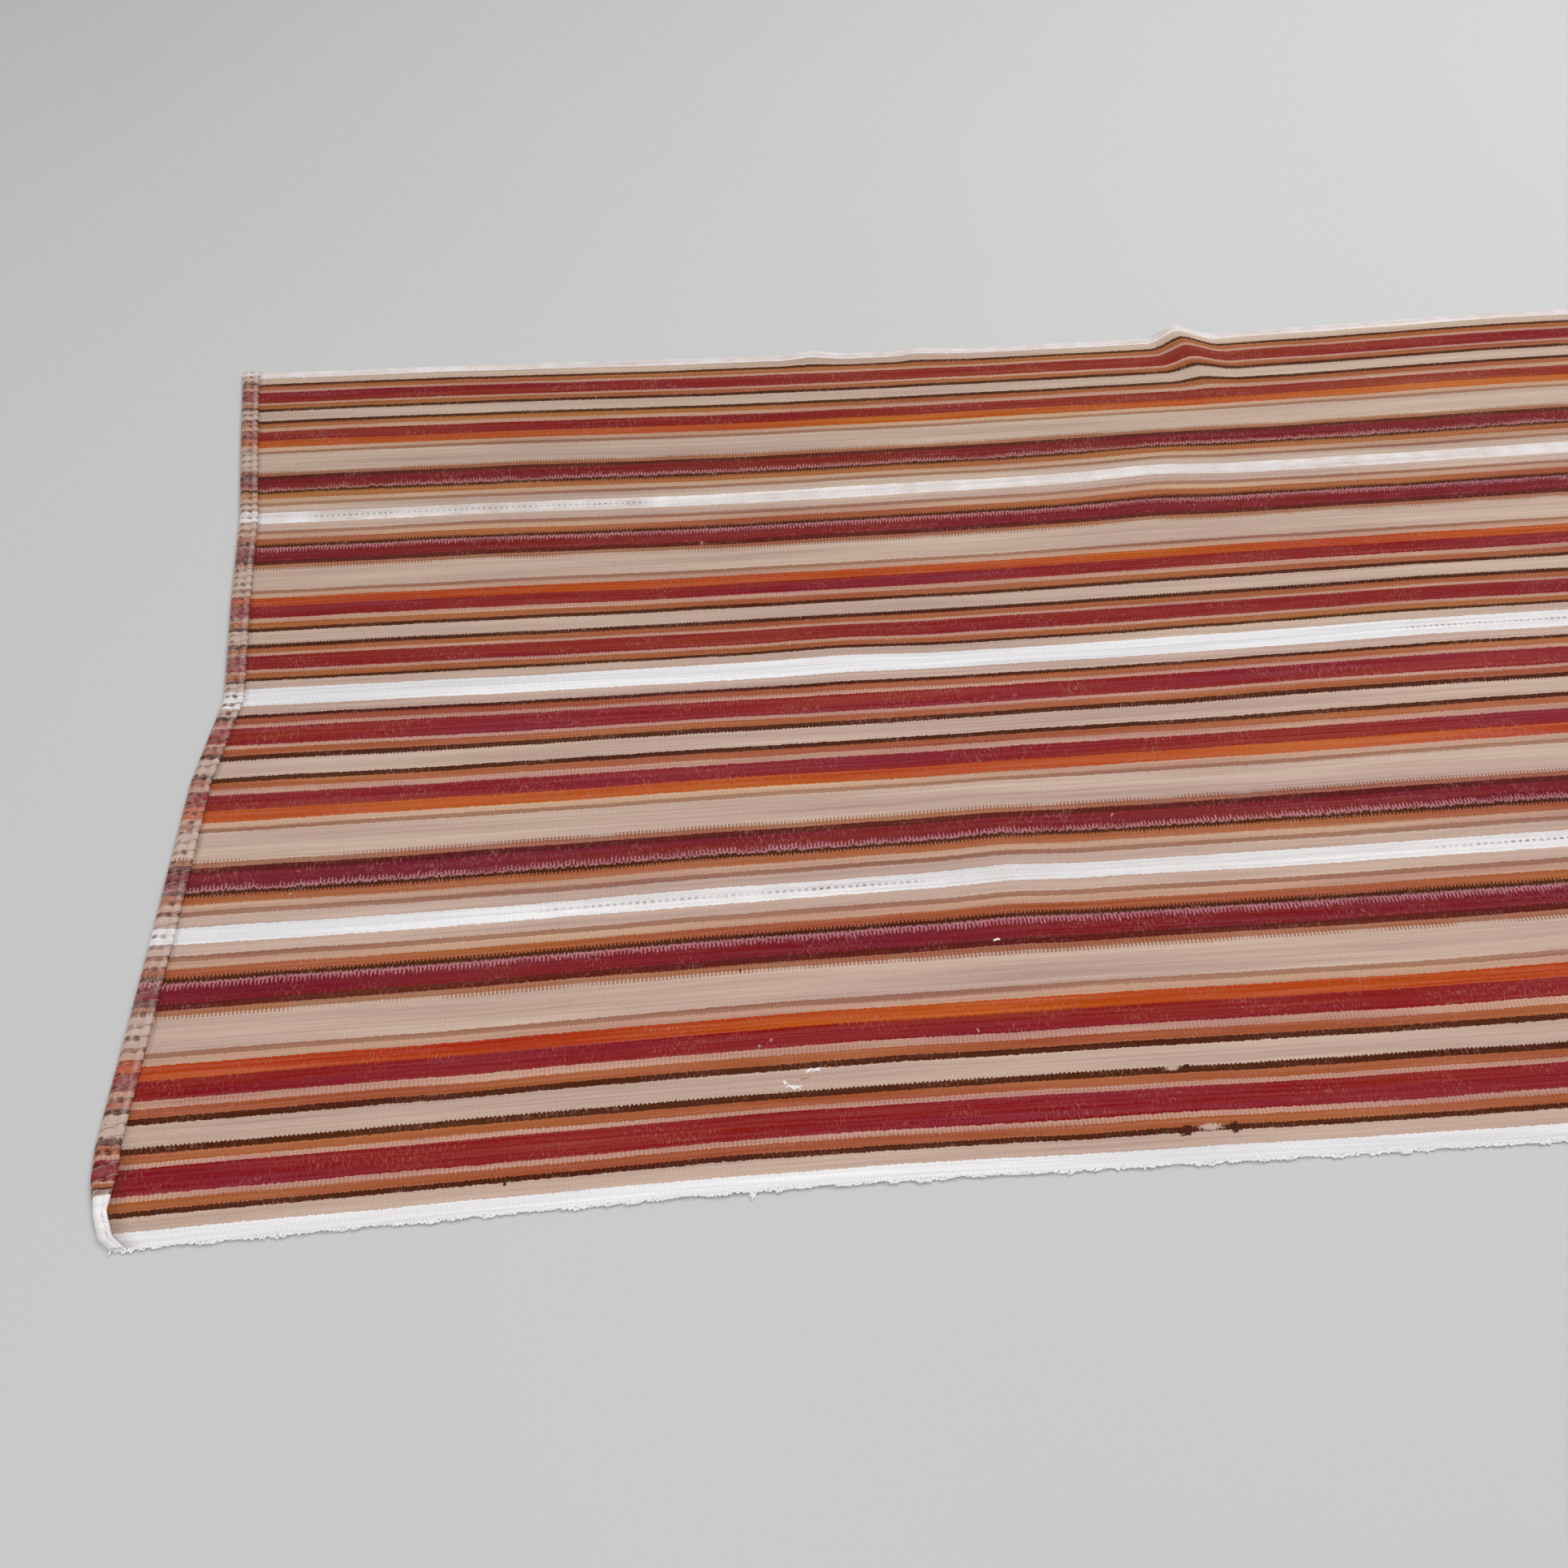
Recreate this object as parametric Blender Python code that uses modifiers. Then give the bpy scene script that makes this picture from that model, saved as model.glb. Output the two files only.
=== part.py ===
"""Striped kilim: four long woven strips sewn edge to edge, lying on a floor, hemmed at both ends.

The stripes and the length run along X, the width along Y from the near edge to the far edge, and
the cloth rests on z = 0. Each strip is one closed solid: an open sheet thickened with Solidify.
"""

import math

import bmesh
import bpy
import numpy as np

# Driving dimensions, metres
LENGTH = 2.622
WIDTH = 1.600
CLOTH = 0.0022
SEAM_GAP = 0.0003
HEM_DEPTH = 0.028
HEM_DEPTH_AT_CORNER = 0.015
HEM_SPACE = 0.0006
TURN_RADIUS = (CLOTH + HEM_SPACE) / 2
MM = 0.001

# How far from the near edge the left hem starts to narrow, and where it has narrowed
HEM_NARROWS = (0.085, 0.045)

# Mesh steps
CELLS_ALONG = 26
STEPS_PER_FOLD = 10
STEPS_IN_TURN = 6
STEPS_IN_HEM = 2

# The strips, near to far: the steps across each, how much they crowd to its far edge, its colour
STRIPS = {
    "panel_near": {"steps_across": 16, "crowding": 1.0, "colour": (0.42, 0.16, 0.10)},
    "panel_mid_near": {"steps_across": 8, "crowding": 1.0, "colour": (0.40, 0.17, 0.12)},
    "panel_mid_far": {"steps_across": 8, "crowding": 1.0, "colour": (0.39, 0.16, 0.12)},
    "panel_far": {"steps_across": 12, "crowding": 1.3, "colour": (0.38, 0.15, 0.11)},
}

# How far each long edge and seam strays towards +Y from its straight line, mm, at places along X
STRAY_COLUMNS = ("x", "near edge", "near seam", "middle seam", "far seam", "far edge")
STRAYS = (
    (-1.30, -9, -10, 0, 1, 16),
    (-0.90, -3, -10, -5, -2, 8),
    (-0.50, 2, -4, -8, -12, -8),
    (-0.10, -5, -2, -10, -11, -16),
    (0.20, -11, -5, -7, -4, -17),
    (0.55, -13, -4, -1, -3, -4),
    (0.90, -10, -3, -1, 2, 9),
    (1.30, -7, -1, -2, 1, 13),
)

# How far each end falls short of the full length, mm, at places across Y
END_COLUMNS = ("y", "left end", "right end")
ENDS = (
    (-0.500 * WIDTH, 116, 10),
    (-0.492 * WIDTH, 101, 10),
    (-0.475 * WIDTH, 90, 8),
    (-0.450 * WIDTH, 79, 7),
    (-0.425 * WIDTH, 75, 6),
    (-0.250 * WIDTH, 80, 3),
    (-0.095 * WIDTH, 82, 8),
    (0.000 * WIDTH, 100, 11),
    (0.125 * WIDTH, 77, 6),
    (0.250 * WIDTH, 59, 0),
    (0.375 * WIDTH, 28, 3),
    (0.500 * WIDTH, 0, 6),
)

# The folds that stand up from the floor: where the crest is highest, how far it leans along X for
# each metre of Y, how far it reaches each way along Y, its width on either side, and its height
FOLD_COLUMNS = ("x", "y", "lean", "reach", "left", "right", "height")
FOLDS = {
    "far edge pucker": (0.315, 0.797, -0.13, 0.225, 0.051, 0.080, 0.024),
    "far edge swell": (-0.323, 0.797, 0.00, 0.070, 0.060, 0.060, 0.007),
    "far edge kink": (-0.150, 0.797, 0.00, 0.090, 0.030, 0.100, 0.005),
    "pucker tail": (0.190, 0.380, 0.35, 0.150, 0.130, 0.130, 0.005),
    "middle seam swell": (-0.350, 0.010, 0.00, 0.110, 0.140, 0.140, 0.004),
    "near seam swell": (-0.195, -0.390, 0.00, 0.170, 0.110, 0.110, 0.006),
}


def smooth_curve(places, values, at):
    """Value at a place of the smooth curve through some values, which never passes beyond them."""
    gaps = np.diff(places)
    slopes = np.diff(values) / gaps
    tangents = np.zeros(len(places))
    for i in range(1, len(places) - 1):
        before, after = slopes[i - 1], slopes[i]
        if before * after > 0:
            tangents[i] = 2 * before * after / (before + after)
    i = np.clip(np.searchsorted(places, at) - 1, 0, len(gaps) - 1)
    t = np.clip((at - places[i]) / gaps[i], 0, 1)
    start = values[i] * (1 + 2 * t) * (1 - t) ** 2 + tangents[i] * gaps[i] * t * (1 - t) ** 2
    end = values[i + 1] * t * t * (3 - 2 * t) + tangents[i + 1] * gaps[i] * t * t * (t - 1)
    return start + end


def column(table, names, name):
    """One named column of a table."""
    return np.array([row[names.index(name)] for row in table], float)


def straight_y(line):
    """Y of a long edge or seam before it strays: 0 is the near edge, 4 the far edge."""
    return -WIDTH / 2 + line * WIDTH / len(STRIPS)


def seam_y(line, x):
    """Y of a long edge or seam at x."""
    strays = column(STRAYS, STRAY_COLUMNS, STRAY_COLUMNS[line + 1]) * MM
    return straight_y(line) + smooth_curve(column(STRAYS, STRAY_COLUMNS, "x"), strays, x)


def end_x(y):
    """X of the rug's left and right ends at y."""
    across = column(ENDS, END_COLUMNS, "y")
    left = -LENGTH / 2 + np.interp(y, across, column(ENDS, END_COLUMNS, "left end")) * MM
    right = LENGTH / 2 - np.interp(y, across, column(ENDS, END_COLUMNS, "right end")) * MM
    return left, right


def hem_depth(y):
    """Depth of the left hem, which narrows before the near corner."""
    full, narrow = (-WIDTH / 2 + distance for distance in HEM_NARROWS)
    return np.interp(y, (narrow, full), (HEM_DEPTH_AT_CORNER, HEM_DEPTH))


def rise(x, y):
    """How far the folds lift the underside from the floor at x, y."""
    height = 0.0
    for fold in FOLDS.values():
        part = dict(zip(FOLD_COLUMNS, fold))
        across = x - part["x"] - part["lean"] * (y - part["y"])
        across /= part["left"] if across < 0 else part["right"]
        along = (y - part["y"]) / part["reach"]
        if abs(across) < 1 and abs(along) < 1:
            height += part["height"] * (1 - abs(across) ** 1.5) ** 2 * (1 - along**2) ** 2
    return height


def cell_steps(start, end, near_y, far_y):
    """Steps from start to end along X: more where the strip from near_y to far_y has a fold."""
    steps = 1
    for fold in FOLDS.values():
        part = dict(zip(FOLD_COLUMNS, fold))
        lean = abs(part["lean"]) * part["reach"]
        meets_cell = part["x"] - part["left"] - lean < end and part["x"] + part["right"] + lean > start
        meets_strip = part["y"] - part["reach"] < far_y and part["y"] + part["reach"] > near_y
        if meets_cell and meets_strip:
            fold_step = (part["left"] + part["right"]) / STEPS_PER_FOLD
            steps = max(steps, math.ceil((end - start) / fold_step))
    return steps


def shares_along(near_y, far_y):
    """Shares of the length, 0 to 1, where a strip's cloth has its points.

    Neighbouring strips share the cells' ends, so a seam has the same line on both of its sides.
    """
    ends = np.linspace(-LENGTH / 2, LENGTH / 2, CELLS_ALONG + 1)
    shares = []
    for cell, (start, end) in enumerate(zip(ends[:-1], ends[1:])):
        steps = cell_steps(start, end, near_y, far_y)
        shares += [(cell + step / steps) / CELLS_ALONG for step in range(steps)]
    return shares + [1.0]


def turned_end(depth):
    """Hem from its cut edge to the bottom of its turn: places from the turn's tip, and heights."""
    section = []
    for i in range(STEPS_IN_HEM):
        section.append((depth + (TURN_RADIUS - depth) * i / STEPS_IN_HEM, 2 * TURN_RADIUS))
    for i in range(STEPS_IN_TURN + 1):
        angle = math.pi * i / STEPS_IN_TURN
        section.append((TURN_RADIUS * (1 - math.sin(angle)), TURN_RADIUS * (1 + math.cos(angle))))
    return section


def floor_span(y):
    """X where the cloth leaves the bottom of its left turn, and where it meets the right one."""
    left, right = end_x(y)
    inset = CLOTH / 2 + TURN_RADIUS
    return left + inset, right - inset


def strip_section(y, shares):
    """Section of a strip along X at y: x and the height over the underside, from hem to hem."""
    first, last = floor_span(y)
    start = turned_end(hem_depth(y) - CLOTH / 2)
    end = turned_end(HEM_DEPTH - CLOTH / 2)
    section = [(first - TURN_RADIUS + inset, height) for inset, height in start]
    section += [(first + (last - first) * share, 0.0) for share in shares[1:-1]]
    section += [(last + TURN_RADIUS - inset, height) for inset, height in reversed(end)]
    return section


def edge_line(line, strip_side, shares):
    """Y of a strip's long edge at each point of its section, half a gap inside a seam.

    It runs straight between the cells' ends, where the strips on both sides of a seam have points.
    """
    first, last = floor_span(straight_y(line))
    knots = np.linspace(first, last, CELLS_ALONG + 1)
    knot_ys = [seam_y(line, knot) for knot in knots]
    inset = SEAM_GAP / 2 * strip_side if 0 < line < len(STRIPS) else 0.0
    section = strip_section(straight_y(line), shares)
    return [np.interp(x, knots, knot_ys) + inset for x, _ in section]


def strip_object(name, index, collection):
    """One woven strip between two seams, its hems turned over onto its face."""
    steps_across = STRIPS[name]["steps_across"]
    near_y, far_y = straight_y(index), straight_y(index + 1)
    shares = shares_along(near_y, far_y)
    near_line = edge_line(index, 1, shares)
    far_line = edge_line(index + 1, -1, shares)

    mesh = bmesh.new()
    steps_along = len(near_line) - 1
    bmesh.ops.create_grid(mesh, x_segments=steps_along, y_segments=steps_across, size=1.0)
    rows = []
    for j in range(steps_across + 1):
        share = 1 - (1 - j / steps_across) ** STRIPS[name]["crowding"]
        rows.append((share, strip_section(near_y + (far_y - near_y) * share, shares)))
    for vertex in mesh.verts:
        i = round((vertex.co.x + 1) / 2 * steps_along)
        j = round((vertex.co.y + 1) / 2 * steps_across)
        share, section = rows[j]
        x, height = section[i]
        y = near_line[i] + (far_line[i] - near_line[i]) * share
        vertex.co = (x, y, CLOTH / 2 + height + rise(x, y))
    data = bpy.data.meshes.new(name)
    mesh.to_mesh(data)
    mesh.free()

    strip = bpy.data.objects.new(name, data)
    collection.objects.link(strip)
    data.shade_smooth()
    thicken = strip.modifiers.new("cloth thickness", "SOLIDIFY")
    thicken.thickness = CLOTH
    thicken.offset = 0
    thicken.use_even_offset = True
    return strip


def wool(name, colour):
    """Matt dyed wool."""
    material = bpy.data.materials.new(name)
    material.use_nodes = True
    shader = material.node_tree.nodes["Principled BSDF"]
    shader.inputs["Base Color"].default_value = (*colour, 1.0)
    shader.inputs["Roughness"].default_value = 0.9
    shader.inputs["Metallic"].default_value = 0.0
    return material


def main():
    """Clear the scene and build the four strips."""
    for old in list(bpy.data.objects):
        bpy.data.objects.remove(old, do_unlink=True)
    collection = bpy.data.collections.new("kilim")
    bpy.context.scene.collection.children.link(collection)
    for index, (name, look) in enumerate(STRIPS.items()):
        strip = strip_object(name, index, collection)
        strip.data.materials.append(wool(f"wool_{name}", look["colour"]))


main()
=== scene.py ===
"""Looks of the striped kilim: its four woven strips, seams, hems, fluffy near edge, and the stage.

X runs along the stripes and Y across them, from the near edge to the far edge. The cloth lies on
z = 0. Lengths are in metres, or in millimetres where a table's column says so.
"""

import math

import bpy
import numpy as np
from mathutils import Matrix, Vector


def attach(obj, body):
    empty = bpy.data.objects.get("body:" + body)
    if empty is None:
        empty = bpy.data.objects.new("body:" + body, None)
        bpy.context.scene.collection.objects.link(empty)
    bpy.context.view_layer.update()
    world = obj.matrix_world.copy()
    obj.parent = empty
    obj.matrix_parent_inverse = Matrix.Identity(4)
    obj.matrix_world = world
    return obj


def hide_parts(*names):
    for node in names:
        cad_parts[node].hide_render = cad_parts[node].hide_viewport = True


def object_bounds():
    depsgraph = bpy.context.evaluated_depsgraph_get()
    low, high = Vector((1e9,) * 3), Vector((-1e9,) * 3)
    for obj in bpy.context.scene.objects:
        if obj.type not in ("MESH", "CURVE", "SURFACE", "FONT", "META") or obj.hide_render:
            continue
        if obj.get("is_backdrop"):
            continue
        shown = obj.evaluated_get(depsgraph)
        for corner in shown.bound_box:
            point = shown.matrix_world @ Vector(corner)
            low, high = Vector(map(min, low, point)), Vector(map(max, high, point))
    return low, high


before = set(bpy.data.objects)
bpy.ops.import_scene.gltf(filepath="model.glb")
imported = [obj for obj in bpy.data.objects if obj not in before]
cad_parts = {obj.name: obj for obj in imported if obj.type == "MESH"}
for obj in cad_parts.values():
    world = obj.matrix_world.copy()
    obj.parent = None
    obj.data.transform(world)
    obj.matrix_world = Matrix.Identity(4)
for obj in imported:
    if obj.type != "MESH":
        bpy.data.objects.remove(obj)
CAD_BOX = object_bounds()

bl_info = {
    "name": "Striped kilim",
    "version": (1, 0, 0),
    "blender": (4, 5, 0),
    "location": "3D View > Sidebar > Kilim",
    "description": "Weaves, sews and shows a flat striped kilim made of four strips",
    "category": "Add Mesh",
}

MM = 0.001

# The strips, near to far: which side the A edge of its stripes is on, how far the middle stripes lie
# towards the near edge of their even places, and the stripes beside the A edge towards that edge, in
# mm, how many degrees its hues turn to yellow, how strong and bright its dyes are, and where its noise
# starts
PANEL_COLUMNS = ("a edge", "bow", "draw", "warmth", "saturation", "brightness", "start")
PANELS = {
    "near": ("near", -2, 0, 0.0, 1.01, 1.00, 0.0),
    "mid_near": ("far", 6, 3, 0.0, 0.99, 0.98, 7.3),
    "mid_far": ("near", 7, 0, 1.2, 1.00, 0.94, 13.9),
    "far": ("far", 0, -2, 2.8, 1.00, 0.92, 21.4),
}

# How far each long edge and seam strays towards +Y from its straight line, mm, at places along X
STRAY_COLUMNS = ("x", "near edge", "near seam", "middle seam", "far seam", "far edge")
STRAYS = (
    (-1.30, -9, -10, 0, 1, 16),
    (-0.90, -3, -10, -5, -2, 8),
    (-0.50, 2, -4, -8, -12, -8),
    (-0.10, -5, -2, -10, -11, -16),
    (0.20, -11, -5, -7, -4, -17),
    (0.55, -13, -4, -1, -3, -4),
    (0.90, -10, -3, -1, 2, 9),
    (1.30, -7, -1, -2, 1, 13),
)

# How far each end falls short of the full length, mm, at shares of the width from the near edge
END_COLUMNS = ("share", "left end", "right end")
ENDS = (
    (0.000, 116, 10),
    (0.008, 101, 10),
    (0.025, 90, 8),
    (0.050, 79, 7),
    (0.075, 75, 6),
    (0.250, 80, 3),
    (0.405, 82, 8),
    (0.500, 100, 11),
    (0.625, 77, 6),
    (0.750, 59, 0),
    (0.875, 28, 3),
    (1.000, 0, 6),
)

# The folds that stand up from the floor: where the crest is highest, how far it leans along X for
# each metre of Y, how far it reaches each way along Y, its width on either side, and its height
FOLD_COLUMNS = ("x", "y", "lean", "reach", "left", "right", "height")
FOLDS = {
    "far edge pucker": (0.315, 0.797, -0.13, 0.225, 0.051, 0.080, 0.024),
    "far edge swell": (-0.323, 0.797, 0.00, 0.070, 0.060, 0.060, 0.007),
    "far edge kink": (-0.150, 0.797, 0.00, 0.090, 0.030, 0.100, 0.005),
    "pucker tail": (0.190, 0.380, 0.35, 0.150, 0.130, 0.130, 0.005),
    "middle seam swell": (-0.350, 0.010, 0.00, 0.110, 0.140, 0.140, 0.004),
    "near seam swell": (-0.195, -0.390, 0.00, 0.170, 0.110, 0.110, 0.006),
}

# Low unevenness of the lying cloth: waves for each metre along X and along Y, phase, height in mm
WAVE_COLUMNS = ("along", "across", "phase", "height")
WAVES = (
    (0.80, 0.50, 0.4, 0.50),
    (2.10, -1.30, 1.9, 0.35),
    (3.70, 2.90, 4.1, 0.25),
    (6.90, -4.70, 2.2, 0.18),
    (1.30, 9.10, 5.3, 0.15),
)

# Stripes of one strip from its white A edge to its white B edge: width in mm and the yarn that
# shows on every other rib, then on the ribs between them
STRIPE_COLUMNS = ("width", "even ribs", "odd ribs")
STRIPES = (
    (16, "white", "white"),
    (17, "beige", "beige"),
    (7, "brown", "brown"),
    (11, "rust", "rust"),
    (6, "blush", "sand"),
    (31, "red", "red"),
    (7, "blush", "sand"),
    (11, "rust", "rust"),
    (7, "brown", "brown"),
    (2, "beige", "brown"),
    (26, "beige", "beige"),
    (9, "brown", "brown"),
    (12, "rust", "rust"),
    (9, "sand", "blush"),
    (27, "red", "red"),
    (18, "orange", "orange"),
    (10, "sand", "sand"),
    (8, "tan", "tan"),
    (45, "beige", "beige"),
    (5, "beige", "tan"),
    (7, "tan", "rust"),
    (10, "maroon", "maroon"),
    (20, "burgundy", "burgundy"),
    (6, "burgundy", "pink"),
    (4, "pink", "pink"),
    (6, "brown", "brown"),
    (3, "rust", "brown"),
    (11, "rust", "rust"),
    (10, "sand", "sand"),
    (8, "tan", "tan"),
    (18, "beige", "beige"),
    (13, "white", "white"),
)

# How far the left hem's stripes lie towards -Y of the cloth's own, mm, at places across Y
SLIP_COLUMNS = ("y", "slip")
SLIPS = (
    (-0.800, 0),
    (-0.739, -45),
    (-0.724, -18),
    (-0.698, -12),
    (-0.674, -12),
    (-0.645, -14),
    (-0.550, -6),
    (-0.400, 2),
    (-0.200, -5),
    (-0.100, -2),
    (-0.010, 11),
    (0.060, 6),
    (0.200, 0),
    (0.800, 0),
)

# The seams, near to far
SEAMS = ("near", "middle", "far")

# Frayed ends of yarn at the near edge: where each is along X, and its length in mm
THREAD_ENDS = ((-1.196, 6), (-0.575, 5), (-0.5385, 8), (-0.5365, 11), (-0.5340, 9), (-0.120, 6))

# Stretches of the seams, counted from 1, and of the far edge, which is 4: how wide open the gaps
# between the stitches show, in painted grey shade, and how soiled the white is
OPEN_COLUMNS = ("seam", "start", "end", "gaps", "soil")
OPEN_SEAMS = (
    (1, -0.78, -0.50, 0.8, 0.25),
    (1, -0.52, -0.28, 1.0, 0.30),
    (1, -0.31, 0.36, 0.0, 0.20),
    (1, 0.33, 0.62, 1.0, 0.15),
    (1, 0.59, 1.40, 0.0, 0.30),
    (2, 0.44, 0.78, 1.0, 0.15),
    (3, -1.16, -0.60, 1.0, 0.75),
    (3, -1.40, -1.16, 0.0, 0.50),
    (3, -0.60, -0.10, 0.0, 0.55),
    (3, -0.13, 1.40, 0.0, 0.60),
    (4, -1.40, 1.40, 0.0, 0.60),
)

# Worn places: the middle, how far each reaches along X and Y in mm, and how bare the warp is
WORN_COLUMNS = ("x", "y", "along", "across", "bareness")
WORN_PLACES = (
    (-0.061, -0.690, 11, 5, 1.0),
    (-0.037, -0.766, 18, 6, 1.0),
    (-0.088, -0.767, 8, 3, 0.6),
    (-0.790, -0.768, 5, 3, 0.7),
    (-0.484, -0.672, 9, 3, 0.6),
)

# Knots and slubs on the face: the middle, length in mm, its turn in degrees and its yarn
KNOT_COLUMNS = ("x", "y", "length", "turn", "yarn")
KNOTS = (
    (-0.224, -0.500, 9, 10, "white"),
    (-0.4912, -0.6723, 8, 150, "white"),
    (-0.4845, -0.6785, 15, 6, "white"),
    (-0.4770, -0.6795, 14, -4, "white"),
    (-0.4629, -0.6593, 10, 12, "white"),
    (-0.4547, -0.6590, 15, 5, "white"),
    (-0.468, -0.668, 12, 15, "sand"),
    (-0.795, -0.767, 9, 80, "brown"),
    (-0.104, -0.7660, 9, 0, "brown"),
    (-0.090, -0.7665, 10, 4, "brown"),
    (-0.068, -0.7675, 20, 2, "brown"),
    (-0.066, -0.7705, 16, 4, "brown"),
    (-0.064, -0.7722, 12, 0, "brown"),
    (-0.062, -0.7640, 13, -5, "brown"),
    (-0.013, -0.7685, 15, 4, "brown"),
    (-0.010, -0.7715, 14, -4, "brown"),
    (-0.012, -0.7730, 9, 6, "brown"),
    (-0.011, -0.7650, 11, 8, "brown"),
    (-0.078, -0.6908, 9, 6, "brown"),
    (-0.044, -0.6892, 9, -4, "brown"),
    (-0.531, -0.517, 4, 100, "maroon"),
    (-0.267, -0.623, 6, 100, "blush"),
    (-0.502, -0.616, 6, 80, "blush"),
    (-0.516, -0.623, 5, 60, "sand"),
    (-0.539, 0.281, 9, 100, "blush"),
    (-0.042, -0.316, 6, 70, "sand"),
    (-1.074, -0.355, 6, 40, "sand"),
)

# How far from the near edge the left hem starts to narrow, and has narrowed
HEM_NARROWS = (0.085, 0.045)

# How far from the near edge the hems have no stitches
PLAIN_CORNER = 0.060

# Where the stitches pull a hem down, as a share of its flat part from the cut edge, and the two
# stitches of each hole: where each starts and stops on the hem, as shares, and how far it slants
STITCH_LINE = 0.42
STITCH_WAYS = ((0.40, -0.04, 0.0045), (0.40, 0.93, -0.0050))

# Rows of needle holes in a hem: the share of its depth from the cut edge, and their radius in mm
NEEDLE_ROWS = ((0.0, 2.6), (0.45, 4.2), (0.80, 3.6))

# Small puckers along the seams and edges: their height, how far they reach across, the distance
# from one to the next, and the distance over which that varies
PUCKER_HEIGHT = 0.45 * MM
PUCKER_REACH = 0.022
PUCKER_SPACING = 0.047
PUCKER_CHANGE = 0.33

# How far from the A edge the pink side of the burgundy stripe is toothed
TOOTHED_EDGE = 0.325

# Length over which an open or soiled stretch of a seam begins and ends
WEAR_FADE = 0.03

# Radii of the yarns that lie on or beside the cloth, and the distance between the near edge's loops
STITCH_RADIUS = 0.0005
LOOP_RADIUS = 0.0008
HAIR_RADIUS = 0.00022
THREAD_END_RADIUS = 0.0012
KNOT_RADIUS = 0.0009
LOOP_SPACING = 0.0016

# Mesh steps: across a strip, along it, in the flat and in the turned part of a hem, and along the
# seam yarn. Then the share of a hem where its turned part begins, and the number of hairs
STEPS_ACROSS = 97
STEPS_ALONG = 300
HEM_STEPS = (15, 12)
SEAM_YARN_STEPS = 640
HEM_TURNS = 0.80
HAIRS = 1500

# Where the random draws of each kind of piece start
SEEDS = {"seam stitches": 40, "hem stitches": 70, "edge loops": 3, "edge hairs": 5, "knots": 11}

MID_GREY = (0.5, 0.5, 0.5, 1.0)

# The lights: where each stands, where it points, and the length of its sides
LIGHTS = {
    "key light": ((2.3, 2.1, 4.2), (0, 0, 0), 2.8),
    "fill light": ((-1.6, -2.4, 3.6), (-0.3, 0, 0), 3.2),
}
FLOOR_REACH = 20
FLOOR_DROP = 0.0001

# The camera: where it stands, how far it looks down, turns right and leans, and its lens
CAMERA_PLACE = (-0.556, -1.563, 1.471)
CAMERA_DOWN = math.radians(47.598)
CAMERA_TURN = math.radians(4.303)
CAMERA_ROLL = math.radians(-0.544)
CAMERA_LENS = 35.0
CAMERA_SENSOR = 36.0


def length_setting(name, description, default, least, most=10.0):
    """Property for a length of the cloth or its sewing."""
    return bpy.props.FloatProperty(
        name=name,
        description=description,
        default=default,
        min=least,
        max=most,
        precision=4,
        unit="LENGTH",
    )


class KilimSizes(bpy.types.PropertyGroup):
    """Sizes of the cloth and its sewing."""

    length: length_setting("Length", "Greatest length of the kilim along its stripes", 2.622, 0.5)
    width: length_setting("Width", "Width of the four strips together", 1.600, 0.4)
    cloth: length_setting("Cloth thickness", "Thickness of the woven cloth", 0.0022, 0.001, 0.003)
    seam_gap: length_setting("Seam gap", "Space between two strips at a seam", 0.0003, 0.0)
    edge_round: length_setting(
        "Edge rounding", "Width over which a woven edge is rounded", 0.0006, 0.0002
    )
    hem_depth: length_setting("Hem depth", "Depth of the hems at both ends", 0.028, 0.010)
    hem_depth_at_corner: length_setting(
        "Hem depth at corner", "Depth of the left hem at its near corner", 0.015, 0.008
    )
    hem_space: length_setting(
        "Hem space", "Space between the cloth and the hem turned over onto it", 0.0006, 0.0003
    )
    hem_puff: length_setting("Hem puff", "How far the hem swells between its stitches", 0.0026, 0.0)
    rib: length_setting("Rib", "Width of one rib of the weave", 0.0024, 0.001)
    warp_thread: length_setting("Warp thread", "Width of one warp thread on a rib", 0.0010, 0.0004)
    seam_yarn: length_setting("Seam yarn", "Thickness of the yarn that fills a seam", 0.0017, 0.0005)
    seam_stitch: length_setting(
        "Seam stitch", "Distance from one seam stitch to the next", 0.0090, 0.002
    )
    hem_stitch: length_setting("Hem stitch", "Distance from one hem stitch to the next", 0.016, 0.004)
    fluff: length_setting(
        "Fluff", "How far the loose yarn stands out from the near edge", 0.0045, 0.0005
    )


def yarn_colour(name, red, green, blue):
    """Property for a yarn's colour, given as it looks in daylight, 0 to 255."""
    return bpy.props.FloatVectorProperty(
        name=name,
        description=f"Colour of the {name.lower()} yarn",
        default=(red / 255, green / 255, blue / 255),
        min=0.0,
        max=1.0,
        size=3,
        subtype="COLOR_GAMMA",
    )


class KilimYarns(bpy.types.PropertyGroup):
    """Colours of the yarns."""

    white: yarn_colour("White", 245, 242, 243)
    beige: yarn_colour("Beige", 204, 175, 160)
    sand: yarn_colour("Sand", 200, 158, 136)
    blush: yarn_colour("Blush", 194, 138, 126)
    tan: yarn_colour("Tan", 164, 116, 96)
    rust: yarn_colour("Rust", 172, 96, 62)
    orange: yarn_colour("Orange", 186, 76, 34)
    red: yarn_colour("Red", 143, 37, 41)
    burgundy: yarn_colour("Burgundy", 128, 34, 42)
    maroon: yarn_colour("Maroon", 96, 32, 24)
    pink: yarn_colour("Pink", 186, 124, 130)
    brown: yarn_colour("Brown", 80, 36, 15)
    sewing_thread: yarn_colour("Sewing thread", 180, 146, 136)
    # Pale wool of the hems, worn by rubbing; by their cut edges it also stands for a painted highlight
    rubbed: yarn_colour("Rubbed", 220, 202, 196)
    seam_yarn: yarn_colour("Seam yarn", 226, 222, 222)
    # Seam shadow is no yarn: painted shade in the open gaps between a seam's stitches
    seam_shadow: yarn_colour("Seam shadow", 128, 122, 126)


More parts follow.
